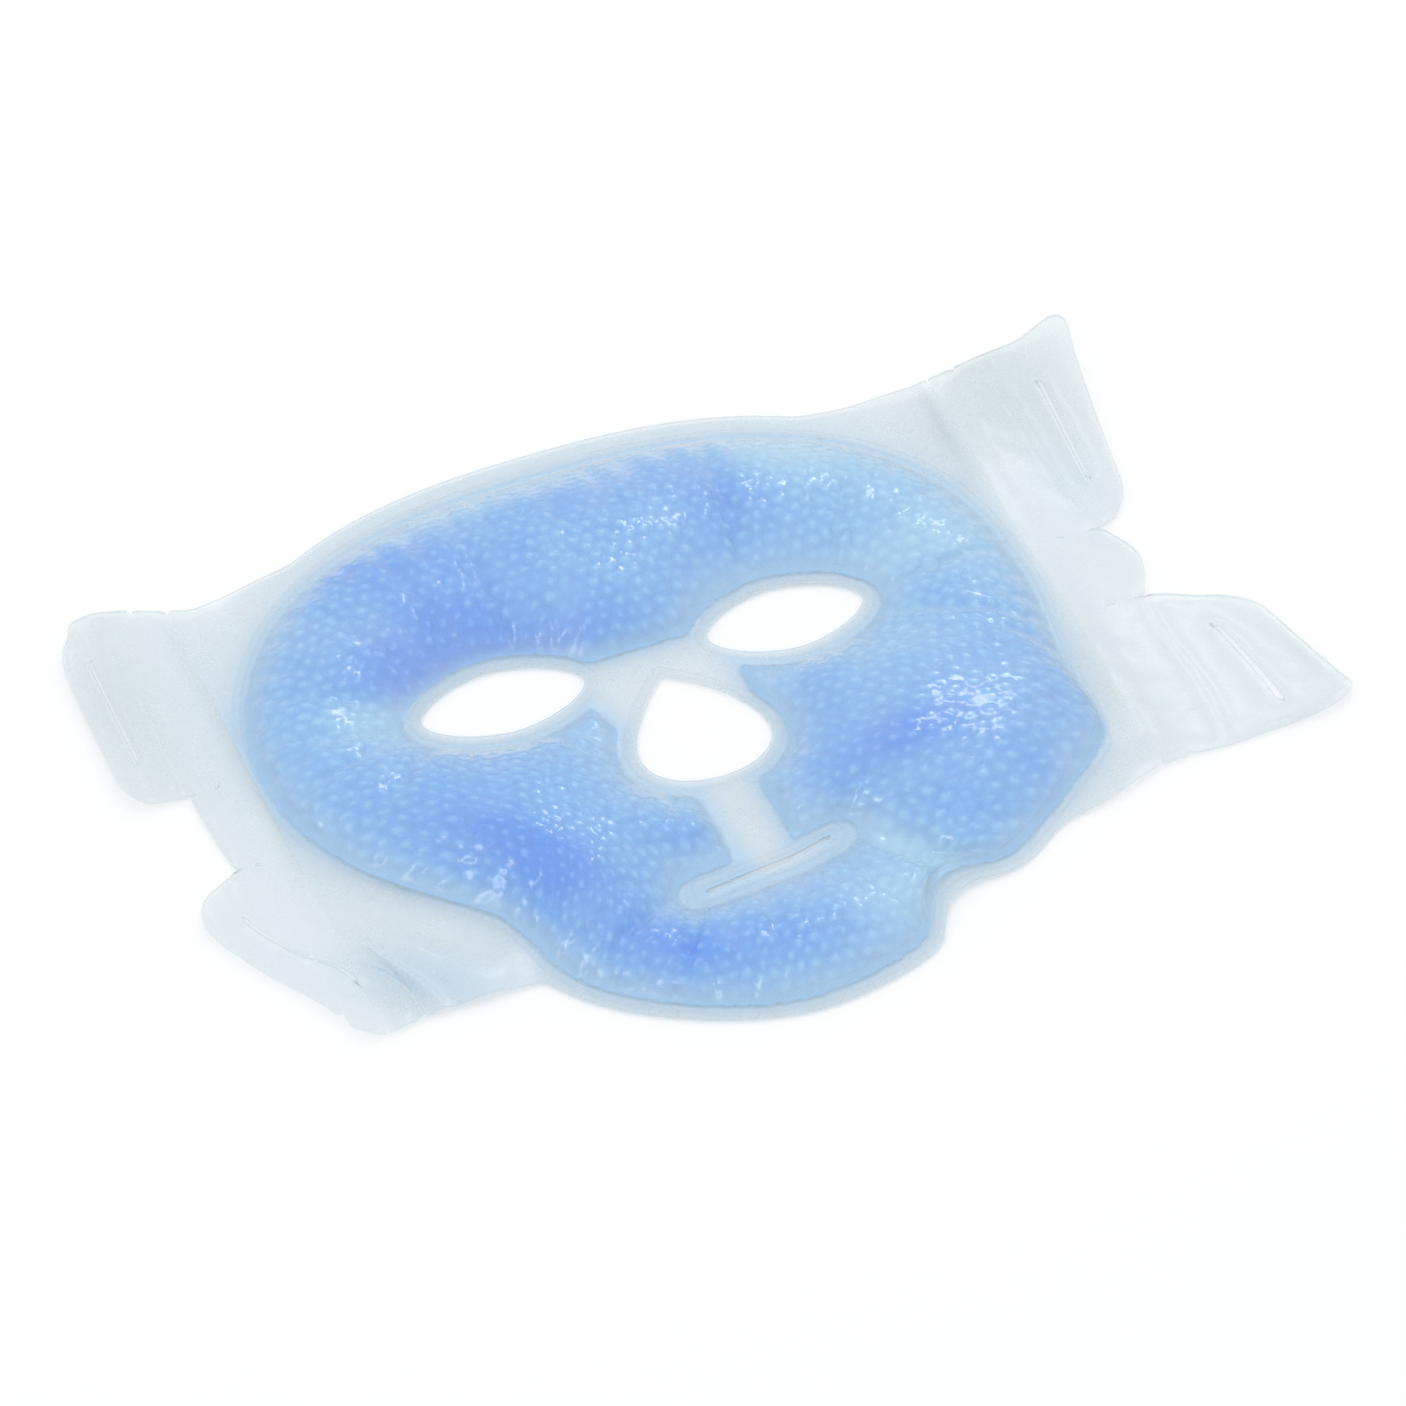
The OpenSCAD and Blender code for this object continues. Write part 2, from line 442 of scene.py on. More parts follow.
class Plan:
    """The areas of the mask as it is cut, before it is laid down."""

    NOTCH_IN = 9.0
    NOTCH_OUT = 0.3
    UNDER_ROWS = 2.0
    OVER_ROWS = 4.0

    def __init__(self, lie: "Lie") -> None:
        """Works out every area from the sizes.

        Args:
            lie: How the mask lies, which says where the seams cross it.
        """
        self.lie = lie
        o, s = OPENINGS, SIDES
        up, down = PAD.up + PAD.wide_drop, PAD.down - PAD.wide_drop
        outline = oval(PAD.width, up, down, PAD.forehead_power, PAD.chin_power)
        self.gel_outline = Shape.polygon(outline - [0, PAD.wide_drop]).baked()
        eye = oval(o.eye_width, o.eye_height / 2, o.eye_height / 2, o.eye_power, o.eye_power, 64)
        self.right_eye = Shape.polygon(eye + [o.eye_spacing / 2, 0]).baked()
        self.left_eye = self.right_eye.mirrored()
        self.nose = Shape.polygon(drop(o.nose_width, o.nose_height, o.nose_widest) - [0, o.nose_drop]).baked()
        half, thick = o.slit_length / 2, o.slit_width / 2
        self.mouth = Shape.polygon(box(-half, half, -o.mouth_drop - thick, -o.mouth_drop + thick))
        self.openings = self.left_eye | self.right_eye | self.nose | self.mouth
        sealed = self.left_eye | self.right_eye | self.nose | self._strips()
        self.sealed = sealed.grown(FILM.seal).baked()
        self.gel = self.gel_outline - self.sealed
        panel = self._panel()
        whole = self.gel_outline.grown(FILM.margin).raised(FILM.rise) | panel | panel.mirrored()
        self.sheet = whole.closed(FILM.inner_corner).baked()
        self.slits = self._slit(Level.UPPER) | self._slit(Level.LOWER)
        right, left = (lie.past(side, s.face_seam) for side in (Side.RIGHT, Side.LEFT))
        self.face_outline = ((self.sheet - right) - left.mirrored()).baked()
        self.face = self.face_outline - self.openings

    @staticmethod
    def _strips() -> Shape:
        """Draws the welded strips between the eyes, the nose and the mouth.

        Returns:
            The strips as one area.
        """
        o = OPENINGS
        inner, middle = (o.eye_spacing - o.eye_width) / 2, -o.nose_drop - o.nose_height / 2
        low = o.nose_width * o.bridge_share
        bridge = Shape.polygon(np.array([[-inner, 0], [-low, middle], [low, middle], [inner, 0]]))
        stem = Shape.polygon(box(-o.stem_width / 2, o.stem_width / 2, -o.mouth_drop, middle))
        mouth = oval(o.mouth_width, o.mouth_height / 2, o.mouth_height / 2, 2, 2, 64)
        return bridge | stem | Shape.polygon(mouth - [0, o.mouth_drop])

    @staticmethod
    def _panel() -> Shape:
        """Draws the film beside the padded face on the right, with both tabs square.

        Returns:
            The film from the middle of the face outwards.
        """
        s = SIDES
        cheek = PAD.width * s.cheek_share
        shoulder = (PAD.width / 2 + s.wing_crease) / 2 - s.shoulder_inset
        return Shape.polygon(np.array([
            [0, PAD.up / 2], [cheek, PAD.up - FILM.margin / 2],
            [shoulder, s.tab_top - s.shoulder_drop], [s.tab_crease, s.tab_top],
            [s.reach, s.tab_top], [s.reach, s.notch_top],
            [s.tab_crease, s.notch_top], [s.tab_crease, s.notch_low],
            [s.reach, s.notch_low], [s.reach, s.tab_low],
            [cheek, s.tab_low], [0, s.tab_low + FILM.margin],
        ], float))

    @staticmethod
    def _slit(level: Level) -> Shape:
        """Draws a right tab's strap slit, a line grown to the slit's width.

        Args:
            level: Which tab.

        Returns:
            The slit, with round ends.
        """
        s = SIDES
        middle, x = sum(s.rows(level)) / 2, (s.tab_crease + s.reach) / 2
        end, line = s.slit_length / 2 - s.slit_width / 2, 0.02
        return Shape.polygon(box(x - line, x + line, middle - end, middle + end)).grown(s.slit_width / 2)

    @staticmethod
    def _rounded(level: Level) -> Shape:
        """Draws a right tab with round corners, from well inside its crease.

        Args:
            level: Which tab.

        Returns:
            The tab's area.
        """
        s = SIDES
        top, low = s.rows(level)
        core = box(s.tab_crease - 2 * s.corner, s.reach - s.corner, low + s.corner, top - s.corner)
        return Shape.polygon(core).grown(s.corner)

    def tab(self, side: Side, level: Level) -> Shape:
        """Draws a tab from its seam outwards, with its strap slit cut.

        Args:
            side: The side of the face, whose seam is used.
            level: Which tab.

        Returns:
            The tab's area, drawn on the right.
        """
        s = SIDES
        top, low = s.rows(level)
        rounded = self._rounded(level) & Shape.beyond(0, s.tab_crease)
        strip = self.sheet & Shape.beyond(0, -s.tab_crease, -1)
        rows = Shape.beyond(1, low - self.UNDER_ROWS) & Shape.beyond(1, -top - self.OVER_ROWS, -1)
        cut = Shape.beyond(1, s.notch_top) if level is Level.UPPER else Shape.beyond(1, -s.notch_low, -1)
        return ((rounded | strip) & rows & cut & self.lie.past(side, s.tab_seam)) - self.slits

    def wing(self, side: Side) -> Shape:
        """Draws the wing between the face's seam and the tabs' seams.

        Args:
            side: The side of the face, whose seams are used.

        Returns:
            The wing's area, drawn on the right.
        """
        s = SIDES
        x0, x1 = s.tab_seam - self.NOTCH_IN, s.tab_crease - self.NOTCH_OUT
        notch = Shape.polygon(box(x0, x1, s.notch_low, s.notch_top))
        inner = self.whole_side() - self.lie.past(side, s.tab_seam)
        return ((inner | (self.sheet & notch)) & self.lie.past(side, s.face_seam)) - self.slits

    def whole_side(self) -> Shape:
        """Returns the film with both right tabs, their outer corners rounded."""
        tabs = self._rounded(Level.UPPER) | self._rounded(Level.LOWER)
        return self.sheet & (Shape.beyond(0, -SIDES.tab_crease, -1) | tabs)


# ---- how the mask lies ----


@dataclass(frozen=True)
class Push:
    """A place where the soft mask was moved or lifted as it was laid down, fading over its radii."""

    x: float
    y: float
    dx: float
    dy: float
    rx: float
    ry: float
    dz: float = 0.0

    def weight(self, p: np.ndarray) -> np.ndarray:
        """Returns how much of the push each point takes."""
        return np.exp(-(((p[:, 0] - self.x) / self.rx) ** 2) - ((p[:, 1] - self.y) / self.ry) ** 2)


@dataclass(frozen=True)
class Patch:
    """An oval place that fades outwards: a pool of gel, a pleat of film, or a patch of painted shade or of
    blue tint.
    """

    x: float
    y: float
    along: float
    across: float
    turn: float
    depth: float

    def amount(self, p: np.ndarray) -> np.ndarray:
        """Works out how much the patch adds at each point.

        Args:
            p: Points, an N by 2 array.

        Returns:
            An amount for each point, the patch's depth at its middle.
        """
        a = math.radians(self.turn)
        u = (p[:, 0] - self.x) * math.cos(a) + (p[:, 1] - self.y) * math.sin(a)
        v = (p[:, 1] - self.y) * math.cos(a) - (p[:, 0] - self.x) * math.sin(a)
        return self.depth * np.exp(-((u / self.along) ** 2) - (v / self.across) ** 2)


@dataclass(frozen=True)
class TabLie:
    """How a strap tab lies: where its outer corners went and how far they curl up."""

    top: tuple[float, float, float]
    low: tuple[float, float, float]
    wave: float = 0.0


class Lie:
    """Moves the plan to the way the mask lies on the table.

    A push moves the face sideways in full up to the first distance in LOOSE and not at all from the second.
    It moves the tabs in full once they are FREE past their seams. SLACK is how far beyond its own rows the
    lie of a tab reaches, and WAVES gives how fast its waves turn along the tab and out from it. OUTEST and
    WAVE_FULL are shares of a tab's reach: where its lie stops growing, and where its waves do.
    """

    LOOSE = (80.0, 103.0)
    FREE = 8.0
    SLACK = 8.0
    WAVES = (5.0, 9.0)
    OUTEST = 1.2
    WAVE_FULL = 0.6
    PUSHES = (
        Push(-76, -64, 14, 0, 34, 27),
        Push(80, -64, 15, 0, 36, 28),
        Push(0, -27, 5, 0, 26, 22),
        Push(0, -66, 2.5, 0, 24, 16),
        Push(44, -103, -3, 8, 9, 9),
        Push(112, -92, 0, 9, 28, 18),
        Push(0, -116, -3, 0, 24, 14),
        Push(22, -75, 0, 4, 12, 10),
        Push(-18, -77, 0, -2, 12, 8),
        Push(96, 60, 0, 1.5, 14, 9),
        Push(-94, 60, 0, -2, 12, 9),
        Push(139, 64, 2.5, 3.5, 6, 6),
        Push(121, -14, 9, 0, 12, 14),
        Push(41, -110, -5, 1, 11, 9),
        Push(-142, 66, 3, -3, 9, 9),
    )
    SHEARS = (Push(-128, -86, 25, 0, 30, 34), Push(-98, 0, -3, 0, 16, 32))
    PLEATS = (
        Patch(-122, -76, 22, 3.0, -58, 2.2),
        Patch(-110, -72, 24, 3.4, -56, 1.8),
        Patch(-97, -72, 20, 4.0, -52, 1.5),
        Patch(-132, -66, 16, 2.6, -62, 1.6),
    )
    LIFTS = (
        Push(-112, 30, 0, 0, 16, 34, 1.8),
        Push(-100, -62, 0, 0, 12, 22, 2.6),
        Push(-84, -84, 0, 0, 10, 10, 1.6),
        Push(108, 44, 0, 0, 12, 26, 2.2),
        Push(112, -30, 0, 0, 14, 26, 2.0),
        Push(92, -88, 0, 0, 18, 9, 1.4),
        Push(46, -108, 0, 0, 9, 8, 1.2),
        Push(96, 64, 0, 0, 10, 8, 2.4),
        Push(-96, 64, 0, 0, 10, 8, 1.6),
    )
    TABS = {
        (Side.LEFT, Level.UPPER): TabLie((-9, -3, 3.0), (-7, 1, 4.0), 0.8),
        (Side.LEFT, Level.LOWER): TabLie((-8, -10, 2.0), (-11, -3, 2.0), 1.2),
        (Side.RIGHT, Level.UPPER): TabLie((0, 0, 7.0), (-9, 5, 1.0), 1.0),
        (Side.RIGHT, Level.LOWER): TabLie((4, -9, 1.5), (16, 7, 2.0), 0.8),
    }

    def place(self, plan: np.ndarray, height: np.ndarray) -> np.ndarray:
        """Returns points of the plan where they lie.

        Args:
            plan: Points of the plan, an N by 2 array.
            height: The height of each point over the film's underside.

        Returns:
            An N by 3 array.
        """
        x, y = plan[:, 0].copy(), plan[:, 1].copy()
        away = np.abs(plan[:, 0])
        loose = np.clip((self.LOOSE[1] - away) / (self.LOOSE[1] - self.LOOSE[0]), 0, 1)
        free = np.clip((away - SIDES.tab_seam) / self.FREE, 0, 1)
        for push in self.PUSHES:
            weight = push.weight(plan)
            x += push.dx * weight * np.maximum(loose, free)
            y += push.dy * weight
        for push in self.SHEARS:
            x += push.dx * push.weight(plan)
        z = sum(push.dz * push.weight(plan) for push in self.LIFTS)
        z = z + sum(pleat.amount(plan) for pleat in self.PLEATS)
        for (side, level), lie in self.TABS.items():
            top, low = SIDES.rows(level)
            out = (side.value * plan[:, 0] - SIDES.tab_crease) / (SIDES.reach - SIDES.tab_crease)
            mine = (out > -0.5) & (plan[:, 1] > low - self.SLACK) & (plan[:, 1] < top + self.SLACK)
            u = np.clip(out, 0, self.OUTEST) * mine
            v = np.clip((plan[:, 1] - low) / (top - low), 0, 1)
            x += side.value * u * (v * lie.top[0] + (1 - v) * lie.low[0])
            y += u * (v * lie.top[1] + (1 - v) * lie.low[1])
            z = z + u**2 * (v**2 * lie.top[2] + (1 - v) ** 2 * lie.low[2])
            phase = v * self.WAVES[0] + side.value + u * self.WAVES[1]
            z = z + lie.wave * np.minimum(u, self.WAVE_FULL) * (1 + np.sin(phase)) / 2
        return np.column_stack([x, y, height + z])

    def flat(self, plan: np.ndarray) -> np.ndarray:
        """Returns where points of the plan lie as seen from above, an N by 2 array."""
        return self.place(plan, np.zeros(len(plan)))[:, :2]

    def past(self, side: Side, at: float) -> Shape:
        """Finds the part of the plan that lies further out on a side than a distance.

        Args:
            side: The side of the face.
            at: The distance from the middle, as the mask lies.

        Returns:
            The area, drawn on the right.
        """
        def distance(p: np.ndarray) -> np.ndarray:
            """Returns the signed distance of each point."""
            return at - side.value * self.flat(p * [side.value, 1])[:, 0]

        return Shape(distance)


# ---- meshes ----


def staggered(reach: tuple[float, float, float, float], pitch: float) -> np.ndarray:
    """Returns points in rows, every second row moved by half a pitch.

    Args:
        reach: The least and greatest X and the least and greatest Y.
        pitch: The distance between the points of a row.

    Returns:
        The points, an N by 2 array.
    """
    x0, x1, y0, y1 = reach
    rows, columns = math.ceil((y1 - y0) / (pitch * ROW_RATIO)), math.ceil((x1 - x0) / pitch)
    j, i = np.mgrid[0:rows, 0:columns]
    return np.column_stack([(x0 + (i + 0.5 * (j % 2)) * pitch).ravel(), (y0 + j * pitch * ROW_RATIO).ravel()])


def turns(points: np.ndarray, faces: np.ndarray) -> np.ndarray:
    """Returns the cross product of two sides of each triangle, twice its area."""
    a, b, c = (points[faces[:, k]] for k in range(3))
    return np.cross(b - a, c - a)


class Net:
    """An even net of triangles over an area of the plan.

    JITTER, EDGE_GAP and LOOP_GAP are shares of the net's step: how far points stray, and how near they come
    to the area's edge and to the points of a loop.
    """

    REACH = (-170.0, 170.0, -140.0, 100.0)
    SEED = 7
    JITTER = 0.12
    EDGE_GAP = 0.45
    LOOP_GAP = 0.62
    LEAST_TURN = 1e-4

    def __init__(self, area: Shape, loops: Sequence[np.ndarray], step: float) -> None:
        """Lays the net.

        Args:
            area: The area that the net fills.
            loops: Closed loops that the net's edges follow.
            step: The distance between points away from the loops.
        """
        ring = np.vstack(loops)
        grid = staggered(self.REACH, step)
        grid += np.random.default_rng(self.SEED).uniform(-self.JITTER, self.JITTER, grid.shape) * step
        grid = grid[area.distance(grid) < -self.EDGE_GAP * step]
        near = tree_of(ring)
        grid = np.array([p for p in grid if near.find((*p, 0))[2] > self.LOOP_GAP * step])
        points = np.vstack([ring, grid]) if len(grid) else ring
        edges, start = [], 0
        for loop in loops:
            count = len(loop)
            edges += [(start + k, start + (k + 1) % count) for k in range(count)]
            start += count
        made, _, faces, *_ = delaunay_2d_cdt([Vector(p) for p in points], edges, [], 0, 1e-5)
        points, faces = np.array([tuple(v) for v in made]), np.array(faces, int)
        centre, turn = points[faces].mean(1), turns(points, faces)
        faces[turn < 0] = faces[turn < 0][:, ::-1]
        faces = faces[(area.distance(centre) < 0) & (np.abs(turn) > self.LEAST_TURN)]
        used, faces = np.unique(faces, return_inverse=True)
        self.points: np.ndarray = points[used]
        self.faces: np.ndarray = faces.reshape(-1, 3)


def tree_of(points: np.ndarray) -> KDTree:
    """Builds a search tree.

    Args:
        points: Points of the plan, an N by 2 array.

    Returns:
        The tree, which numbers the points in their order.
    """
    tree = KDTree(len(points))
    for k, p in enumerate(points):
        tree.insert((p[0], p[1], 0), k)
    tree.balance()
    return tree


def rim_edges(faces: np.ndarray) -> np.ndarray:
    """Finds the edges that only one face of a net uses.

    Args:
        faces: The net's faces, with as many corners as there are columns.

    Returns:
        The edges in their faces' direction, an N by 2 array.
    """
    count = faces.shape[1]
    sides = np.vstack([faces[:, [k, (k + 1) % count]] for k in range(count)])
    size = int(sides.max()) + 1
    forward = sides[:, 0] * size + sides[:, 1]
    backward = sides[:, 1] * size + sides[:, 0]
    return sides[~np.isin(forward, backward)]


def new_mesh(
    name: str,
    points: np.ndarray,
    parts: Sequence[np.ndarray],
    sharp: np.ndarray | None = None,
    kept: Mapping[str, np.ndarray] | None = None,
) -> bpy.types.Object:
    """Makes an object from points measured from the eye line, without the points that no face uses.

    Args:
        name: The piece's name.
        points: N by 3 points, in millimetres.
        parts: Arrays of faces, each with as many corners a face as its columns.
        sharp: Pairs of corners whose edges stay crisp.
        kept: A value for each point, by the name that the finish reads it by.

    Returns:
        The new object, linked to the scene.
    """
    used = np.unique(np.concatenate([part.ravel() for part in parts]))
    index = np.full(len(points), -1)
    index[used] = np.arange(len(used))
    mesh = bpy.data.meshes.new(name)
    faces = [face for part in parts for face in index[part].tolist()]
    mesh.from_pydata(((points[used] + [0, EYE_LINE, 0]) * MM).tolist(), [], faces)
    mesh.shade_smooth()
    if sharp is not None and len(sharp):
        wanted = {(min(a, b), max(a, b)) for a, b in index[sharp].tolist()}
        for edge in mesh.edges:
            edge.use_edge_sharp = tuple(sorted(edge.vertices)) in wanted
    for key, values in (kept or {}).items():
        mesh.attributes.new(key, "FLOAT", "POINT").data.foreach_set("value", values[used].astype(np.float32))
    mesh.validate()
    piece = bpy.data.objects.new(name, mesh)
    bpy.context.scene.collection.objects.link(piece)
    return piece


def slab(
    name: str,
    faces: np.ndarray,
    top: np.ndarray,
    bottom: np.ndarray,
    skins: Skins = Skins.BOTH,
    kept: Mapping[str, np.ndarray] | None = None,
    joined: np.ndarray | None = None,
) -> bpy.types.Object:
    """Makes a thin piece between two surfaces that share one net.

    Args:
        name: The piece's name.
        faces: The net's faces.
        top: Where the net's points lie above.
        bottom: Where they lie below.
        skins: The surfaces that are made. One that is fused to another film or lies on something is left out.
        kept: A value for each point of the net, by name.
        joined: Whether each point of the net lies on a joint with the next piece, other than at a seam.

    Returns:
        The piece. It has no wall at a seam or joint, where the next piece carries on from it.
    """
    count = len(top)
    rim = rim_edges(faces)
    across = np.abs(top[rim].mean(1)[:, 0])
    to_seam = np.minimum(np.abs(across - SIDES.face_seam), np.abs(across - SIDES.tab_seam))
    rim = rim[to_seam > SIDES.seam_slack]
    if joined is not None:
        rim = rim[~joined[rim].all(1)]
    parts = [np.column_stack([rim[:, 1], rim[:, 0], rim[:, 0] + count, rim[:, 1] + count])]
    if skins is not Skins.LOWER:
        parts.append(faces)
    if skins is not Skins.UPPER:
        parts.append(faces[:, ::-1] + count)
    both = {key: np.tile(values, 2) for key, values in (kept or {}).items()}
    return new_mesh(name, np.vstack([top, bottom]), parts, np.vstack([rim, rim + count]), both)


def normals_of(points: np.ndarray, faces: np.ndarray) -> np.ndarray:
    """Works out the normals of a surface from the faces round each point.

    Args:
        points: The surface's points, an N by 3 array.
        faces: Its faces, with as many corners as there are columns.

    Returns:
        A unit normal for each point.
    """
    total = np.zeros_like(points)
    for k in range(1, faces.shape[1] - 1):
        triangles = faces[:, [0, k, k + 1]]
        turn = turns(points, triangles)
        for corner in triangles.T:
            np.add.at(total, corner, turn)
    return total / np.maximum(np.linalg.norm(total, axis=1), 1e-9)[:, None]


# ---- the film's painted shade and blue tint ----


# Painted shade on the film as it lies: darker patches on tilted tabs and wings, and dark lines along the
# creases and the rolled edge of the lower right tab. The negative patch lightens the lower left tab.
SHADES = (
    Patch(118, 50, 24, 28, 0, 0.75),
    Patch(-124, 30, 14, 38, 0, 0.55),
    Patch(-92, -72, 20, 14, -45, 0.35),
    Patch(104, -58, 12, 26, 0, 0.45),
    Patch(100, 46, 1.6, 17, 0, 0.9),
    Patch(97, 27, 3, 3, 0, 0.5),
    Patch(-104, 30, 1.8, 36, 0, 0.5),
    Patch(-104, -30, 1.6, 30, -8, 0.4),
    Patch(152, -62, 2.5, 18, 20, 0.45),
    Patch(142, -80, 12, 2.2, 8, 0.4),
    Patch(128, -6, 6, 8, 0, 0.3),
    Patch(-114, -62, 13, 20, 0, -0.6),
)
# Patches where the film is tinted blue.
BLUE_TINTS = (
    Patch(-88, -80, 22, 9, -35, 0.75),
    Patch(-14, -78, 13, 6, 15, 0.9),
    Patch(18, -72, 10, 5, 15, 0.5),
    Patch(122, 16, 9, 12, 0, 0.25),
    Patch(-104, 2, 8, 40, 0, 0.3),
)


def tones(laid: np.ndarray) -> dict[str, np.ndarray]:
    """Returns the film's painted shade and its blue tint at points as they lie."""
    kinds = {"shade": SHADES, "blue_tint": BLUE_TINTS}
    return {name: sum(patch.amount(laid) for patch in patches) for name, patches in kinds.items()}


# ---- the padded face ----


@dataclass
class Swelling:
    """Presses the front film up over the gel by a cloth simulation, from a flat net.

    A millimetre of the mask is as many metres in the simulation as scale says.
    """

    scale: float = 0.01
    pressure: float = 18.0
    slack: float = 0.03
    frames: int = 22
    stiffness: float = 12.0
    shear: float = 4.0
    bending: float = 1.5
    mass: float = 0.2
    damping: float = 2.0
    quality: int = 6

    def run(self, net: Net, welded: np.ndarray) -> np.ndarray:
        """Runs the simulation.

        Args:
            net: The flat net of the face.
            welded: For each point, whether it is welded down.

        Returns:
            The net's points after swelling, N by 3, in millimetres.
        """
        flat = np.column_stack([net.points, np.zeros(len(net.points))])
        mesh = bpy.data.meshes.new("pressing")
        mesh.from_pydata((flat * self.scale).tolist(), [], net.faces.tolist())
        film = bpy.data.objects.new("pressing", mesh)
        bpy.context.scene.collection.objects.link(film)
        held = film.vertex_groups.new(name="welded")
        held.add(np.nonzero(welded)[0].tolist(), 1.0, "REPLACE")
        cloth = film.modifiers.new("press", "CLOTH")
        settings = cloth.settings
        settings.quality = self.quality
        settings.mass = self.mass
        settings.tension_stiffness = settings.compression_stiffness = self.stiffness
        settings.shear_stiffness = self.shear
        settings.bending_stiffness = self.bending
        settings.vertex_group_mass = "welded"
        settings.shrink_min = -self.slack
        settings.use_pressure = True
        settings.uniform_pressure_force = self.pressure
        settings.effector_weights.gravity = 0.0
        settings.air_damping = self.damping
        cloth.collision_settings.use_collision = False
        cloth.point_cache.frame_start, cloth.point_cache.frame_end = 1, self.frames
        scene = bpy.context.scene
        for number in range(1, self.frames + 1):
            scene.frame_set(number)
        pressed = film.evaluated_get(bpy.context.evaluated_depsgraph_get()).to_mesh()
        out = np.zeros(len(flat) * 3)
        pressed.vertices.foreach_get("co", out)
        bpy.data.objects.remove(film)
        bpy.data.meshes.remove(mesh)
        scene.frame_set(1)
        return out.reshape(-1, 3) / self.scale


@dataclass
class Beads:
    """The gel's beads: their places, and how near a point of the plan is to a bead's crown."""

    reach: tuple[float, float, float, float] = (-120.0, 120.0, -130.0, 90.0)
    pitch: float = 4.0
    stray: float = 0.3
    gap: float = 0.62
    dome: float = 1.5
    seed: int = 11
    tree: KDTree = field(init=False)

    def __post_init__(self) -> None:
        """Scatters the beads."""
        rng = np.random.default_rng(self.seed)
        at = staggered(self.reach, self.pitch)
        self.tree = tree_of(at + rng.uniform(-self.stray, self.stray, at.shape) * self.pitch)

    def crown(self, plan: np.ndarray) -> np.ndarray:
        """Works out how near points are to a bead's crown.

        Args:
            plan: Points of the plan, an N by 2 array.

        Returns:
            A value for each point, from 0 between beads to 1.
        """
        out = np.zeros(len(plan))
        for k, p in enumerate(plan):
            (_, _, first), (_, _, second) = self.tree.find_n((p[0], p[1], 0), 2)
            inside = min(1.0, (second - first) / (self.gap * self.pitch))
            dome = max(0.0, 1 - (first / self.pitch * self.dome) ** 2)
            out[k] = inside * 0.6 + 0.4 * dome
        return out


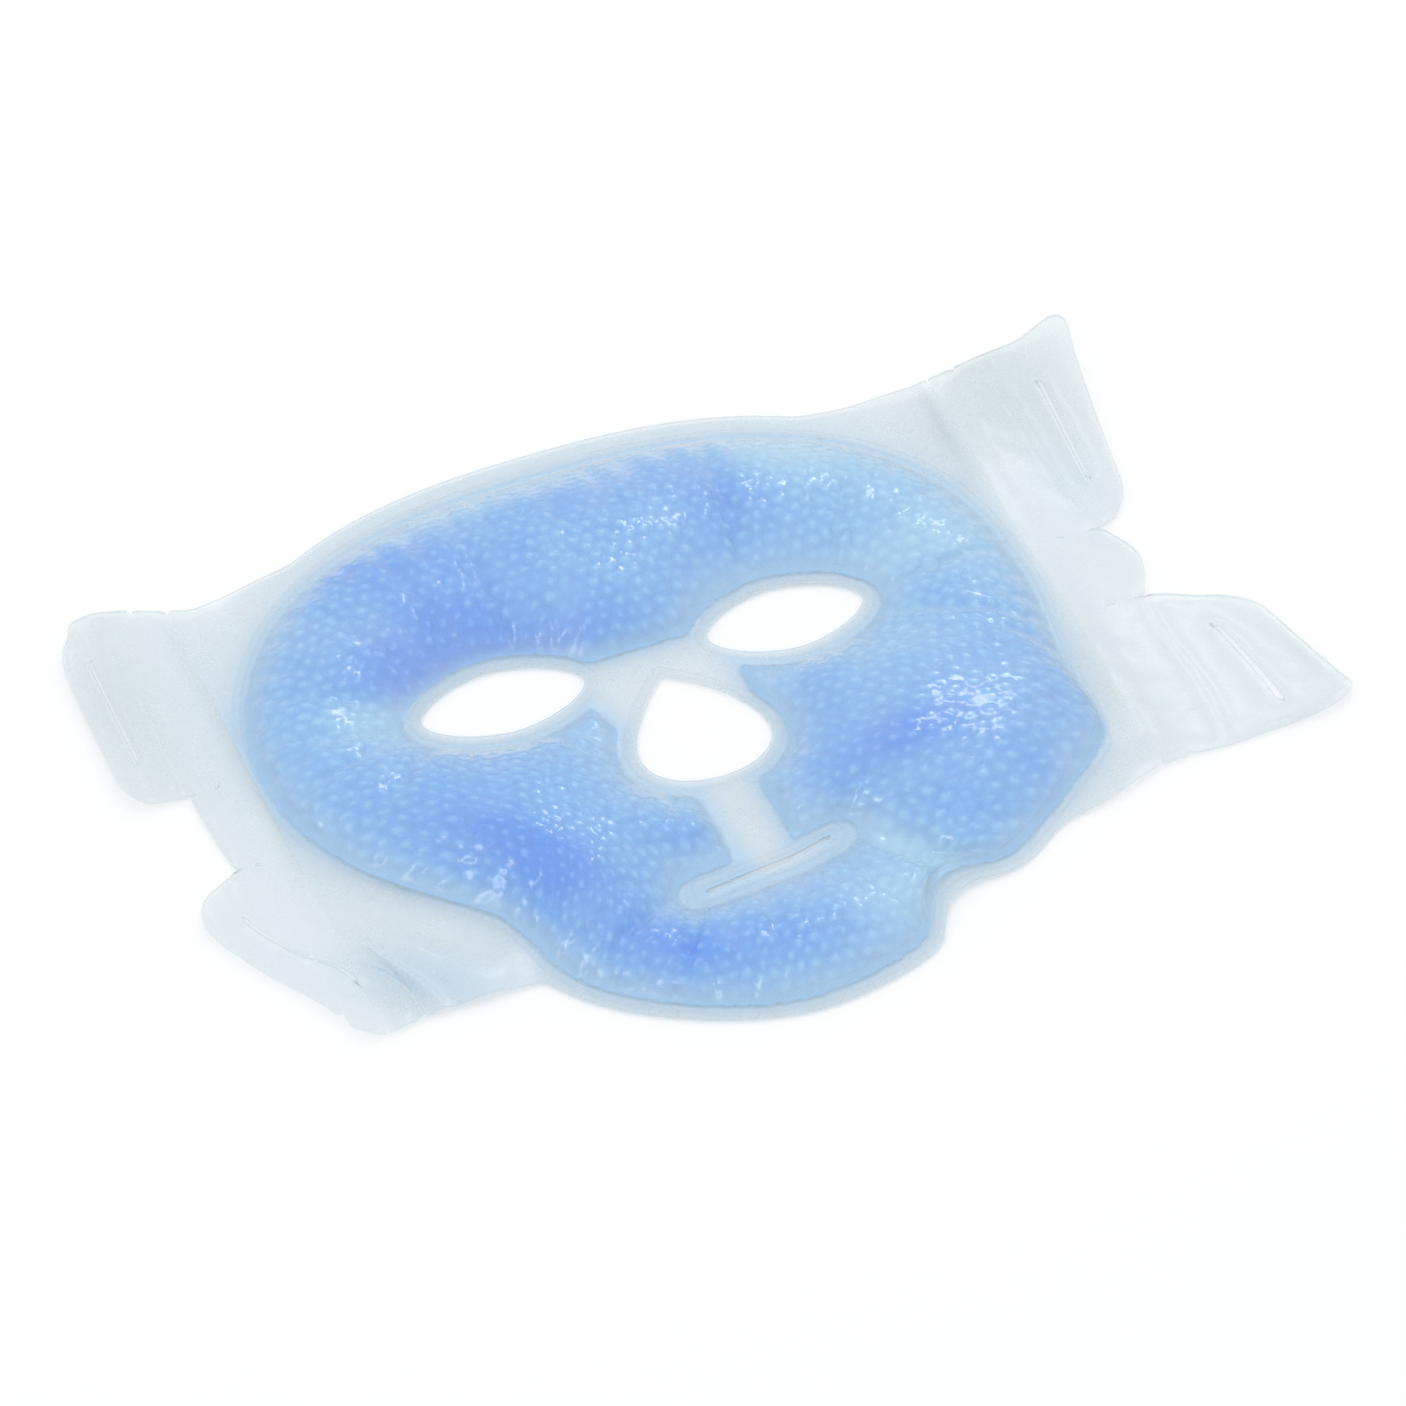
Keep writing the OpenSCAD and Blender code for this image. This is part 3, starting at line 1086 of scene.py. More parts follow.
@dataclass
class PaddedFace:
    """The gel, the two films that hold it and the weld beads around it.

    The dips are how far a surface sinks between beads. The near widths are how far the gel's colour shows in
    the film outside and inside the gel's edge, and the wet width is how soon the film over it looks wet.
    """

    POOLS = (
        Patch(-41, 27, 17, 9, -25, 0.9),
        Patch(-54, 15, 18, 9, -10, 1.15),
        Patch(-50, 49, 22, 10, -20, 0.65),
        Patch(-20, 13, 19, 6, -5, 0.8),
        Patch(-60, -47, 20, 9, -52, 0.9),
        Patch(-47, -66, 17, 9, -58, 1.0),
        Patch(45, -56, 17, 7, 4, 1.1),
        Patch(76, -82, 13, 5, -62, 0.3),
        Patch(66, -66, 8, 5, -40, 0.1),
        Patch(36, 38, 9, 13, 10, 0.5),
        Patch(-13, -62, 8, 7, 0, 0.4),
        Patch(-20, -100, 22, 8, -12, 0.45),
        Patch(-33, -93, 14, 8, -40, 0.7),
        Patch(60, 50, 20, 13, -35, -0.9),
        Patch(84, 14, 14, 24, 15, -0.6),
        Patch(62, -24, 18, 12, 0, -0.3),
        Patch(-72, 3, 13, 9, 0, -0.55),
        Patch(26, -98, 14, 12, 20, -0.55),
        Patch(72, 8, 12, 7, 0, -0.4),
        Patch(0, 5, 7, 4, 0, 0.2),
        Patch(-66, -88, 10, 6, -30, -0.4),
        Patch(-30, 62, 26, 6, 0, -0.3),
        Patch(2, 50, 14, 9, 0, 0.3),
    )
    CREASE = ((27.0, -71.0), (46.0, -104.0))
    BEAD_PROFILE = (
        (-1.0, -0.15), (-0.92, 0.45), (-0.6, 0.88), (0.0, 1.0), (0.6, 0.88), (0.92, 0.45), (1.0, -0.15)
    )

    plan: Plan
    lie: Lie
    step: float = 2.3
    edge_step: float = 1.9
    hole_step: float = 1.5
    back_steps: tuple[float, float, float] = (2.4, 1.8, 3.2)
    weld_slack: float = 0.05
    quick_slope: float = 22.0
    top_share: float = 0.92
    top_power: float = 0.85
    pool_rise: float = 0.07
    crease_sink: float = 0.7
    crease_width: float = 3.0
    crease_widens: float = 2.5
    lump: float = 0.028
    dip_fade: float = 2.0
    film_dip: float = 0.32
    gel_dip: float = 0.85
    gel_gap: float = 0.05
    gel_least: float = 0.06
    gel_base: float = 0.03
    gel_thick: float = 7.0
    near_out: float = 6.0
    near_in: float = 2.0
    wet_width: float = 4.0
    back_gap: float = 0.02
    bead_step: float = 0.55
    rib_middle: float = 0.82
    rib_swing: float = 0.18
    rib_points: int = 4
    surface: np.ndarray = field(init=False)
    faces: np.ndarray = field(init=False)
    gel_faces: np.ndarray = field(init=False)
    laid: np.ndarray = field(init=False)
    pool: np.ndarray = field(init=False)
    crease: np.ndarray = field(init=False)
    crown: np.ndarray = field(init=False)

    def __post_init__(self) -> None:
        """Lays the face's net and presses it."""
        plan = self.plan
        gel_loops = plan.gel_outline.edges(self.edge_step) + plan.sealed.edges(self.edge_step)
        holes = plan.openings.edges(self.hole_step)
        loops = [*plan.face_outline.edges(self.edge_step), *holes, *gel_loops]
        net = Net(plan.face, loops, self.step)
        welded = plan.gel.distance(net.points) > -self.weld_slack
        swollen = self._swell(net, welded)
        self._refine(net, swollen)

    def _swell(self, net: Net, welded: np.ndarray) -> np.ndarray:
        """Presses the net and brings its height to the pad's.

        Args:
            net: The flat net of the face.
            welded: For each point, whether it is welded down.

        Returns:
            The net's points, an N by 3 array.
        """
        out = Swelling().run(net, welded)
        highest, sideways = out[:, 2].max(), np.abs(out[:, :2] - net.points).max()
        LOG.info("the film swells to %.1f mm, at most %.1f mm sideways", highest, sideways)
        out[:, 2] = PAD.height * self.top_share * (np.maximum(out[:, 2], 0) / highest) ** self.top_power
        out[welded] = np.column_stack([net.points, np.zeros(len(net.points))])[welded]
        return out

    def _refine(self, net: Net, swollen: np.ndarray) -> None:
        """Subdivides the pressed net, keeps its points and faces, and works in the pools, crease and lumps.

        Args:
            net: The flat net of the face.
            swollen: Its points after pressing, an N by 3 array.
        """
        mesh = bpy.data.meshes.new("refining")
        mesh.from_pydata(swollen.tolist(), [], net.faces.tolist())
        mesh.materials.append(None)
        mesh.materials.append(None)
        centre = net.points[net.faces].mean(1)
        gel = (self.plan.gel.distance(centre) < 0).astype(np.int32)
        mesh.polygons.foreach_set("material_index", gel)
        holder = bpy.data.objects.new("refining", mesh)
        bpy.context.scene.collection.objects.link(holder)
        finer = holder.modifiers.new("finer", "SUBSURF")
        finer.levels = finer.render_levels = 1
        finer.boundary_smooth = "PRESERVE_CORNERS"
        made = holder.evaluated_get(bpy.context.evaluated_depsgraph_get()).to_mesh()
        points, faces = np.zeros(len(made.vertices) * 3), np.zeros(len(made.loops), np.int32)
        kinds = np.zeros(len(made.polygons), np.int32)
        made.vertices.foreach_get("co", points)
        made.loops.foreach_get("vertex_index", faces)
        made.polygons.foreach_get("material_index", kinds)
        bpy.data.objects.remove(holder)
        bpy.data.meshes.remove(mesh)
        self.surface = points.reshape(-1, 3)
        self.surface[:, 2] = np.maximum(self.surface[:, 2], 0)
        self.faces = faces.reshape(-1, 4).astype(int)
        self.gel_faces = self.faces[kinds == 1]
        self.laid = self.lie.flat(self.surface[:, :2])
        self.pool = np.clip(sum(p.amount(self.laid) for p in self.POOLS), -1, 1.2)
        self.crease = self._near_crease()
        pooled, creased = 1 + self.pool_rise * np.clip(self.pool, -1, 1), 1 - self.crease_sink * self.crease
        self.surface[:, 2] *= pooled * creased * self._lumps()
        self.crown = Beads().crown(self.surface[:, :2])

    def _near_crease(self) -> np.ndarray:
        """Works out how near the points lie to the crease across the chin.

        Returns:
            A value for each point of the surface, from 0 to 1.
        """
        start, end = (np.array(p) for p in self.CREASE)
        d = end - start
        t = np.clip(((self.laid - start) @ d) / (d @ d), 0, 1)
        away = np.hypot(*(self.laid - start - t[:, None] * d).T)
        width = self.crease_width + self.crease_widens * t
        return np.exp(-((away / width) ** 2)) * np.clip(t * 3 + 0.3, 0, 1)

    def _lumps(self) -> np.ndarray:
        """Works out the slow unevenness of the gel's height from a few waves.

        Returns:
            A factor for each point of the surface.
        """
        x, y = self.surface[:, 0], self.surface[:, 1]
        waves = np.sin(x * 0.13 + 1.0) * np.sin(y * 0.16 + 0.4)
        waves = waves + 0.6 * np.sin(x * 0.24 - y * 0.19)
        waves = waves + 0.4 * np.sin(y * 0.37 + x * 0.11)
        return 1 + self.lump * waves

    def _top(self, depth: float, offset: float) -> np.ndarray:
        """Pushes the pressed surface in between beads and moves it along its normals.

        Args:
            depth: How far it sinks between beads.
            offset: How far it is moved outwards.

        Returns:
            The moved points, an N by 3 array.
        """
        ups = normals_of(self.surface, self.faces)
        fade = np.clip(self.surface[:, 2] / self.dip_fade, 0, 1)
        return self.surface + ups * (offset - depth * fade * (1 - self.crown))[:, None]

    def front_film(self) -> bpy.types.Object:
        """Makes the front film, which spans the beads.

        Returns:
            The film's upper skin and rim, with its shades kept for its finish.
        """
        under, over = self._top(self.film_dip, 0.0), self._top(self.film_dip, FILM.ply)
        under[:, 2] = np.maximum(under[:, 2], 0)
        top = self.lie.place(over[:, :2], over[:, 2] + FILM.ply)
        bottom = self.lie.place(under[:, :2], under[:, 2] + FILM.ply)
        away = self.plan.gel.distance(self.surface[:, :2])
        near = np.where(away > 0, np.exp(-away / self.near_out), np.exp(away / self.near_in))
        wet = np.clip(-away / self.wet_width, 0, 1)
        kept = tones(self.laid) | {"near_gel": near, "wet": wet}
        return slab("front_film_over_gel", self.faces, top, bottom, Skins.UPPER, kept)

    def gel(self) -> bpy.types.Object:
        """Makes the gel, closed and flat underneath.

        Returns:
            The gel, with its pools and crowns kept for its finish.
        """
        used, faces = np.unique(self.gel_faces, return_inverse=True)
        faces = faces.reshape(-1, 4)
        over = self._top(self.gel_dip, -PAD.film_gap - self.gel_gap)[used]
        over[:, 2] = np.maximum(over[:, 2], self.gel_least)
        flat = self.surface[used, :2]
        top = self.lie.place(over[:, :2], over[:, 2] + FILM.ply)
        bottom = self.lie.place(flat, np.full(len(used), FILM.ply + self.gel_base))
        thick = np.clip(self.surface[:, 2] / self.gel_thick, 0, 1)
        whole = {"pool": self.pool, "crown": self.crown, "crease": self.crease, "thick": thick}
        kept = {key: values[used] for key, values in whole.items()}
        return slab("blue_gel_beads", faces, top, bottom, kept=kept)

    def back_film(self) -> "Cut":
        """Makes the back film, which lies on the table.

        Returns:
            The film's lower skin and rim, with its flat size.
        """
        plan, (outer, holes, step) = self.plan, self.back_steps
        net = Net(plan.face, [*plan.face_outline.edges(outer), *plan.openings.edges(holes)], step)
        top = self.lie.place(net.points, np.full(len(net.points), FILM.ply - self.back_gap))
        bottom = self.lie.place(net.points, np.zeros(len(net.points)))
        piece = slab("back_film_sheet", net.faces, top, bottom, Skins.LOWER)
        return Cut(piece, *Cut.flat_size(net))

    def weld(self, name: str, around: Shape, start: float) -> bpy.types.Object:
        """Makes the weld bead that follows an outline.

        Args:
            name: The piece's name.
            around: The outline that the bead follows.
            start: The distance from the outline to the bead.

        Returns:
            The bead, a ring of pressed ribs that is open where it is fused to the film.
        """
        loop = max(around.grown(start + FILM.bead_width / 2).edges(self.bead_step), key=len)
        along = np.roll(loop, -1, 0) - np.roll(loop, 1, 0)
        along /= np.maximum(np.hypot(*along.T), 1e-9)[:, None]
        across = np.column_stack([along[:, 1], -along[:, 0]])
        count, rows = len(loop), len(self.BEAD_PROFILE)
        ribs = self.rib_middle + self.rib_swing * np.cos(np.arange(count) * 2 * math.pi / self.rib_points)
        rings = []
        for side, up in self.BEAD_PROFILE:
            spot = loop + across * (side * FILM.bead_width / 2)
            rise = FILM.bead_height * up * (ribs if up > 0 else np.ones(count))
            rings.append(self.lie.place(spot, FILM.both + rise))
        row, k = np.mgrid[0:rows - 1, 0:count]
        after = (k + 1) % count
        corners = [row * count + k, row * count + after, (row + 1) * count + after, (row + 1) * count + k]
        return new_mesh(name, np.vstack(rings), [np.stack(corners, -1).reshape(-1, 4)])


# ---- wings and tabs ----


@dataclass(frozen=True)
class Cut:
    """A piece of film with the width and length, in metres, and the area that it was cut to."""

    piece: bpy.types.Object
    width: float
    length: float
    area: float

    @staticmethod
    def flat_size(net: Net) -> tuple[float, float, float]:
        """Turns a flat net by whole degrees until the rectangle round it is smallest.

        Args:
            net: The flat net of a piece.

        Returns:
            The rectangle's width and length and the net's own area, in metres and square metres.
        """
        spans = []
        for angle in np.radians(np.arange(90)):
            turned = net.points @ [[math.cos(angle), -math.sin(angle)], [math.sin(angle), math.cos(angle)]]
            spans.append(np.ptp(turned, axis=0) * MM)
        width, length = sorted(min(spans, key=np.prod))
        area = float(np.abs(turns(net.points, net.faces)).sum() / 2 * MM**2)
        return float(width), float(length), area


@dataclass
class SideFilm:
    """One side's wing and its two strap tabs, with the pressed rims and creases of the film.

    RIM holds the distances from the edge where the net follows the pressed rim, highest at the middle one.
    The cover is the film inside a tab's seam and a little past it, which keeps the rim off the seam.
    """

    RIM = (0.7, 1.5, 2.3)

    plan: Plan
    lie: Lie
    side: Side
    rim_height: float = 0.3
    rim_width: float = 0.55
    groove_width: float = 1.6
    groove: float = 0.25
    ripple: float = 0.12
    sink: float = 0.12
    edge_step: float = 1.7
    rim_step: float = 1.9
    wing_step: float = 2.2
    tab_step: float = 2.4
    cover_from: float = 60.0
    cover_to: float = 160.0
    cover_above: float = 20.0
    cover_past: float = 9.0

    def _panel(self, name: str, area: Shape, outline: Shape, crease: float, step: float) -> Cut:
        """Makes one panel of doubled film.

        Args:
            name: The piece's name.
            area: The panel's area on the right side.
            outline: The cut edge that the pressed rim follows.
            crease: How far out the crease is that crosses the panel as it lies.
            step: The distance between the net's points.

        Returns:
            The panel's skin, as high as both plies, with its flat size.
        """
        loops = area.edges(self.edge_step)
        inner = [loop for inset in self.RIM for loop in area.grown(-inset).edges(self.rim_step)]
        net = Net(area, [*loops, *inner], step)
        x, y = net.points.T
        depth = -outline.distance(net.points)
        rim = self.rim_height * np.exp(-(((depth - self.RIM[1]) / self.rim_width) ** 2))
        ripple = self.ripple * np.sin(x * 0.5 + y * 0.23) * np.sin(y * 0.31)
        plan = net.points * [self.side.value, 1]
        laid = self.lie.flat(plan)
        groove = self.groove * np.exp(-(((np.abs(laid[:, 0]) - crease) / self.groove_width) ** 2))
        faces = net.faces if self.side is Side.RIGHT else net.faces[:, ::-1]
        top = self.lie.place(plan, FILM.both + rim - groove + ripple - self.sink)
        bottom = self.lie.place(plan, np.zeros(len(plan)))
        to_notch = np.abs(net.points[:, 1:] - [SIDES.notch_top, SIDES.notch_low]).min(1)
        joined = (to_notch < SIDES.notch_slack) & (x < SIDES.tab_crease)
        return Cut(slab(name, faces, top, bottom, Skins.UPPER, tones(laid), joined), *Cut.flat_size(net))

    def wing(self) -> Cut:
        """Makes the wing.

        Returns:
            The wing, with its flat size.
        """
        name = f"{self.side.name.lower()}_wing_film"
        area = self.plan.wing(self.side)
        return self._panel(name, area, self.plan.sheet, SIDES.wing_crease, self.wing_step)

    def tab(self, level: Level) -> Cut:
        """Makes a strap tab with its slit. Its pressed rim follows its edge, but not its seam with the wing.

        Args:
            level: Which tab.

        Returns:
            The tab, with its flat size.
        """
        name = f"{level.value}_{self.side.name.lower()}_tab_film"
        area = self.plan.tab(self.side, level)
        low, top = SIDES.tab_low - self.cover_above, SIDES.tab_top + self.cover_above
        cover = Shape.polygon(box(self.cover_from, self.cover_to, low, top))
        cover = cover - self.lie.past(self.side, SIDES.tab_seam + self.cover_past)
        return self._panel(name, area, area | cover, SIDES.tab_crease, self.tab_step)


# ---- finishes ----


class Wire:
    """A socket of a finish, with arithmetic that adds Math nodes."""

    def __init__(self, bench: "Bench", socket: bpy.types.NodeSocket) -> None:
        """Keeps the socket and the bench it belongs to."""
        self.bench, self.socket = bench, socket

    def _math(self, operation: str, a: "Wire | float", b: "Wire | float") -> "Wire":
        """Returns the result of one Math node."""
        return self.bench.out("ShaderNodeMath", {"operation": operation}, {0: a, 1: b})

    def __add__(self, other: "Wire | float") -> "Wire":
        """Returns the sum."""
        return self._math("ADD", self, other)

    def __radd__(self, other: float) -> "Wire":
        """Returns the sum."""
        return self._math("ADD", other, self)

    def __sub__(self, other: "Wire | float") -> "Wire":
        """Returns the difference."""
        return self._math("SUBTRACT", self, other)

    def __rsub__(self, other: float) -> "Wire":
        """Returns the difference, the other way round."""
        return self._math("SUBTRACT", other, self)

    def __mul__(self, other: "Wire | float") -> "Wire":
        """Returns the product."""
        return self._math("MULTIPLY", self, other)

    def __rmul__(self, other: float) -> "Wire":
        """Returns the product."""
        return self._math("MULTIPLY", other, self)

    def __pow__(self, other: float) -> "Wire":
        """Returns the power."""
        return self._math("POWER", self, other)

    def limited(self) -> "Wire":
        """Returns the value kept between 0 and 1."""
        return self.bench.out("ShaderNodeClamp", {}, {0: self})


class Bench:
    """Adds the nodes of one material."""

    def __init__(self, name: str) -> None:
        """Starts an empty material.

        Args:
            name: The material's name.
        """
        self.material = bpy.data.materials.new(name)
        self.material.use_nodes = True
        self.tree = self.material.node_tree
        self.tree.nodes.clear()

    def add(
        self, kind: str, settings: Mapping[str, object], sockets: Mapping[str | int, object]
    ) -> bpy.types.Node:
        """Adds a node.

        Args:
            kind: The node's type.
            settings: Its properties, which are set first.
            sockets: The value or wire of each input, by name or number.

        Returns:
            The node.
        """
        node = self.tree.nodes.new(kind)
        for name, value in settings.items():
            setattr(node, name, value)
        for key, value in sockets.items():
            if isinstance(value, Wire):
                self.tree.links.new(value.socket, node.inputs[key])
            else:
                node.inputs[key].default_value = value
        return node

    def out(
        self,
        kind: str,
        settings: Mapping[str, object],
        sockets: Mapping[str | int, object],
        output: str | int = 0,
    ) -> Wire:
        """Adds a node and returns one of its outputs."""
        return Wire(self, self.add(kind, settings, sockets).outputs[output])

    def mix(self, factor: "Wire | float", a: object, b: object) -> Wire:
        """Returns two colours mixed."""
        return self.out("ShaderNodeMix", {"data_type": "RGBA"}, {0: factor, 6: a, 7: b}, 2)

    def place(self) -> Wire:
        """Returns the point's place on the piece, in metres."""
        return self.out("ShaderNodeTexCoord", {}, {}, "Object")

    def kept(self, name: str) -> Wire:
        """Returns a value that the mesh keeps."""
        return self.out("ShaderNodeAttribute", {"attribute_name": name}, {}, "Fac")

    def noise(self, scale: float, detail: float = 3.0, roughness: float = 0.5) -> Wire:
        """Returns noise whose features are about 1 / scale metres."""
        sockets = {"Vector": self.place(), "Scale": scale, "Detail": detail, "Roughness": roughness}
        return self.out("ShaderNodeTexNoise", {}, sockets, "Fac")

    def bump(self, height: Wire, strength: float, distance: float) -> Wire:
        """Returns a normal bent by a height."""
        sockets = {"Height": height, "Strength": strength, "Distance": distance}
        return self.out("ShaderNodeBump", {}, sockets, "Normal")

    def finish(self, surface: Wire) -> bpy.types.Material:
        """Links the surface to the output and returns the material."""
        self.add("ShaderNodeOutputMaterial", {}, {"Surface": surface})
        return self.material


def paint(red: float, green: float, blue: float) -> tuple[float, float, float, float]:
    """Turns screen values into a colour of the scene.

    Args:
        red: The red value, 0 to 255.
        green: The green value.
        blue: The blue value.

    Returns:
        The colour, with full alpha.
    """
    def linear(value: float) -> float:
        """Returns one channel without the screen's curve."""
        part = value / 255
        return part / 12.92 if part <= 0.04045 else ((part + 0.055) / 1.055) ** 2.4

    return linear(red), linear(green), linear(blue), 1.0


@dataclass(frozen=True)
class GelFinish:
    """Wet blue gel in beads, deeper where it pools, with painted shade between the beads and painted
    highlights on their crowns.
    """

    thin: tuple[float, float, float] = (160, 220, 246)
    middle: tuple[float, float, float] = (116, 188, 244)
    deep: tuple[float, float, float] = (52, 148, 245)
    brim: tuple[float, float, float] = (176, 216, 240)
    # Painted shade: the darker blue put between the beads.
    gap: tuple[float, float, float] = (78, 140, 226)
    # Painted highlight: the pale blue put on the beads' crowns.
    crown: tuple[float, float, float] = (190, 224, 250)

    def make(self) -> bpy.types.Material:
        """Makes the gel's material.

        Returns:
            The material.
        """
        b = Bench("wet_blue_gel")
        pool, crown, crease, thick = (b.kept(name) for name in ("pool", "crown", "crease", "thick"))
        cloud = b.noise(45, 4) - 0.5
        speck = b.noise(420, 3, 0.6) - 0.5
        depth = pool + cloud * 0.8 + speck * 0.35 - crease * 0.9
        colour = b.mix((depth * -1.0 + 0.05).limited(), paint(*self.middle), paint(*self.thin))
        colour = b.mix((depth * 1.1 - 0.05).limited(), colour, paint(*self.deep))
        # Painted shade between the beads, mixed with random specks.
        between = (1 - crown) * 0.5 + speck * 0.45
        colour = b.mix(between.limited(), colour, paint(*self.gap))
        # Painted highlight on the beads' crowns, with random specks.
        colour = b.mix(((crown - 0.72) * 1.0 + speck * 0.25).limited(), colour, paint(*self.crown))
        colour = b.mix(((1 - thick) ** 1.4 * 0.8 - pool * 0.6).limited(), colour, paint(*self.brim))
        rough = (0.32 + (b.noise(160, 2) - 0.5) * 0.3 - crown * 0.08).limited()
        normal = b.bump(b.noise(700, 3) + b.noise(240, 2) * 2.0, 0.25, 0.0006)
        sockets = {"Base Color": colour, "Roughness": rough, "Normal": normal}
        coat = {"Coat Weight": 0.25, "Coat Roughness": 0.15}
        return b.finish(b.out("ShaderNodeBsdfPrincipled", {}, sockets | coat))


@dataclass(frozen=True)
class FilmFinish:
    """Clear soft vinyl film: a tint, a little milkiness and gloss, with painted shade and a blue tint near
    the gel.
    """

    name: str
    tint: tuple[float, float, float] = (0.885, 0.918, 0.93)
    milk: tuple[float, float, float] = (224, 232, 234)
    bluish_milk: tuple[float, float, float] = (184, 221, 252)
    # Painted shade: the darker milk that the shade values mix in.
    shaded_milk: tuple[float, float, float] = (190, 202, 204)
    haze: float = 0.16
    edge_haze: float = 0.35
    rough: float = 0.28
    scuffs: float = 0.16

    def make(self) -> bpy.types.Material:
        """Makes the film's material.

        Returns:
            The material.
        """
        b = Bench(self.name)
        facing = b.out("ShaderNodeLayerWeight", {}, {"Blend": 0.5}, "Facing")
        wet, shade = b.kept("wet"), b.kept("shade")
        blue = (b.kept("near_gel") + b.kept("blue_tint") * (1 - wet)).limited()
        patch = b.noise(16, 3, 0.55) - 0.5
        scuff = b.noise(70, 4, 0.6) - 0.5
        fine = b.noise(900, 2) - 0.5
        normal = b.bump(b.noise(60, 2) + b.noise(700, 2) * 0.05, 0.2, 0.001)
        worn = paint(*(min(255, c + 12) for c in self.milk))
        milk = b.mix((scuff + 0.5).limited(), paint(*self.milk), worn)
        # Painted shade where the shade values are high.
        milk = b.mix((shade * 0.8).limited(), milk, paint(*self.shaded_milk))
        milk = b.mix(blue, milk, paint(*self.bluish_milk))
        rough = (self.rough - wet * 0.14 + scuff * 0.08 + fine * 0.06).limited()
        milky = {"Base Color": milk, "Roughness": 0.5, "Normal": normal}
        cloudy = b.out("ShaderNodeBsdfPrincipled", {}, milky)
        through = b.out("ShaderNodeBsdfTransparent", {}, {"Color": (1, 1, 1, 1)})
        tinted = b.out("ShaderNodeBsdfTransparent", {}, {"Color": (*self.tint, 1.0)})
        clear = b.out("ShaderNodeMixShader", {}, {0: wet, 1: tinted, 2: through})
        haze = self.haze + facing**4.0 * self.edge_haze + scuff * self.scuffs
        haze = (haze + patch * 0.18 + blue * 0.4 + shade * 0.2).limited()
        body = b.out("ShaderNodeMixShader", {}, {0: haze, 1: clear, 2: cloudy})
        glossy = {"Color": (1, 1, 1, 1), "Roughness": rough, "Normal": normal}
        gloss = b.out("ShaderNodeBsdfAnisotropic", {}, glossy)
        glance = b.out("ShaderNodeLayerWeight", {}, {"Blend": 0.5, "Normal": normal}, "Facing")
        shine = (glance**5.0 * 0.85 + 0.04).limited()
        return b.finish(b.out("ShaderNodeMixShader", {}, {0: shine, 1: body, 2: gloss}))


def plain_floor() -> bpy.types.Material:
    """Makes the floor's plain pale paint.

    Returns:
        The material.
    """
    b = Bench("plain_pale_floor")
    grain = b.noise(9, 2) * 0.004 + 0.955
    colour = b.out("ShaderNodeCombineColor", {}, {0: grain, 1: grain, 2: grain})
    return b.finish(b.out("ShaderNodeBsdfPrincipled", {}, {"Base Color": colour, "Roughness": 0.9}))


# ---- stage ----


@dataclass(frozen=True)
class SoftLight:
    """A flat light that looks at the mask, and that its gloss mirrors if it is to give glints."""

    name: str
    place: tuple[float, float, float]
    size: tuple[float, float]
    power: float
    glints: bool = True

    def hang(self) -> None:
        """Makes the light."""
        light = bpy.data.lights.new(self.name, "AREA")
        light.shape, light.size, light.size_y, light.energy = "RECTANGLE", *self.size, self.power
        lamp = bpy.data.objects.new(self.name, light)
        lamp.location = self.place
        lamp.visible_glossy = self.glints
        lamp.rotation_euler = (Vector(self.place) * -1).to_track_quat("-Z", "Y").to_euler()
        bpy.context.scene.collection.objects.link(lamp)


@dataclass
class Studio:
    """The plain floor, the soft light and the camera."""

    LIGHTS = (
        SoftLight("top_light", (0.15, 0.25, 1.5), (0.9, 0.9), 4.2, glints=False),
        SoftLight("window_light", (-0.75, -0.35, 1.3), (0.22, 0.3), 1.1),
        SoftLight("small_light", (0.7, 0.9, 1.2), (0.16, 0.16), 0.9),
    )

    floor_half: float = 6.0
    floor_drop: float = 0.0003
    room_colour: tuple[float, float, float, float] = (0.97, 0.985, 1.0, 1.0)
    room_light: float = 0.86
    aim: tuple[float, float, float] = (0.0082, 0.0044, 0.0)
    elevation: float = 45.8
    azimuth: float = -22.6
    distance: float = 2.4
    field_of_view: float = 8.2

    def build(self) -> None:
        """Makes the floor, the lights and the camera."""
        scene = bpy.context.scene
        scene.view_settings.view_transform = "Standard"
        scene.view_settings.look = "None"
        mesh = bpy.data.meshes.new("floor")
        half = self.floor_half
        corners = [(-half, -half, 0), (half, -half, 0), (half, half, 0), (-half, half, 0)]
        mesh.from_pydata(corners, [], [(0, 1, 2, 3)])
        floor = bpy.data.objects.new("floor", mesh)
        floor.location.z = -self.floor_drop
        scene.collection.objects.link(floor)
        mesh.materials.append(plain_floor())
        world = bpy.data.worlds.new("pale_room")
        scene.world = world
        world.use_nodes = True
        room = world.node_tree.nodes["Background"].inputs
        room["Color"].default_value, room["Strength"].default_value = self.room_colour, self.room_light
        for light in self.LIGHTS:
            light.hang()
        self._camera()

    def _camera(self) -> None:
        """Makes the camera and sets it as the scene's."""
        up, turn = math.radians(self.elevation), math.radians(self.azimuth)
        back = Vector((math.sin(turn) * math.cos(up), -math.cos(turn) * math.cos(up), math.sin(up)))
        data = bpy.data.cameras.new("camera")
        data.sensor_width = 36.0
        data.angle = math.radians(self.field_of_view)
        data.dof.use_dof = False
        camera = bpy.data.objects.new("camera", data)
        camera.location = Vector(self.aim) + back * self.distance
        camera.rotation_euler = (-back).to_track_quat("-Z", "Y").to_euler()
        bpy.context.scene.collection.objects.link(camera)
        bpy.context.scene.camera = camera


# ---- the mask ----


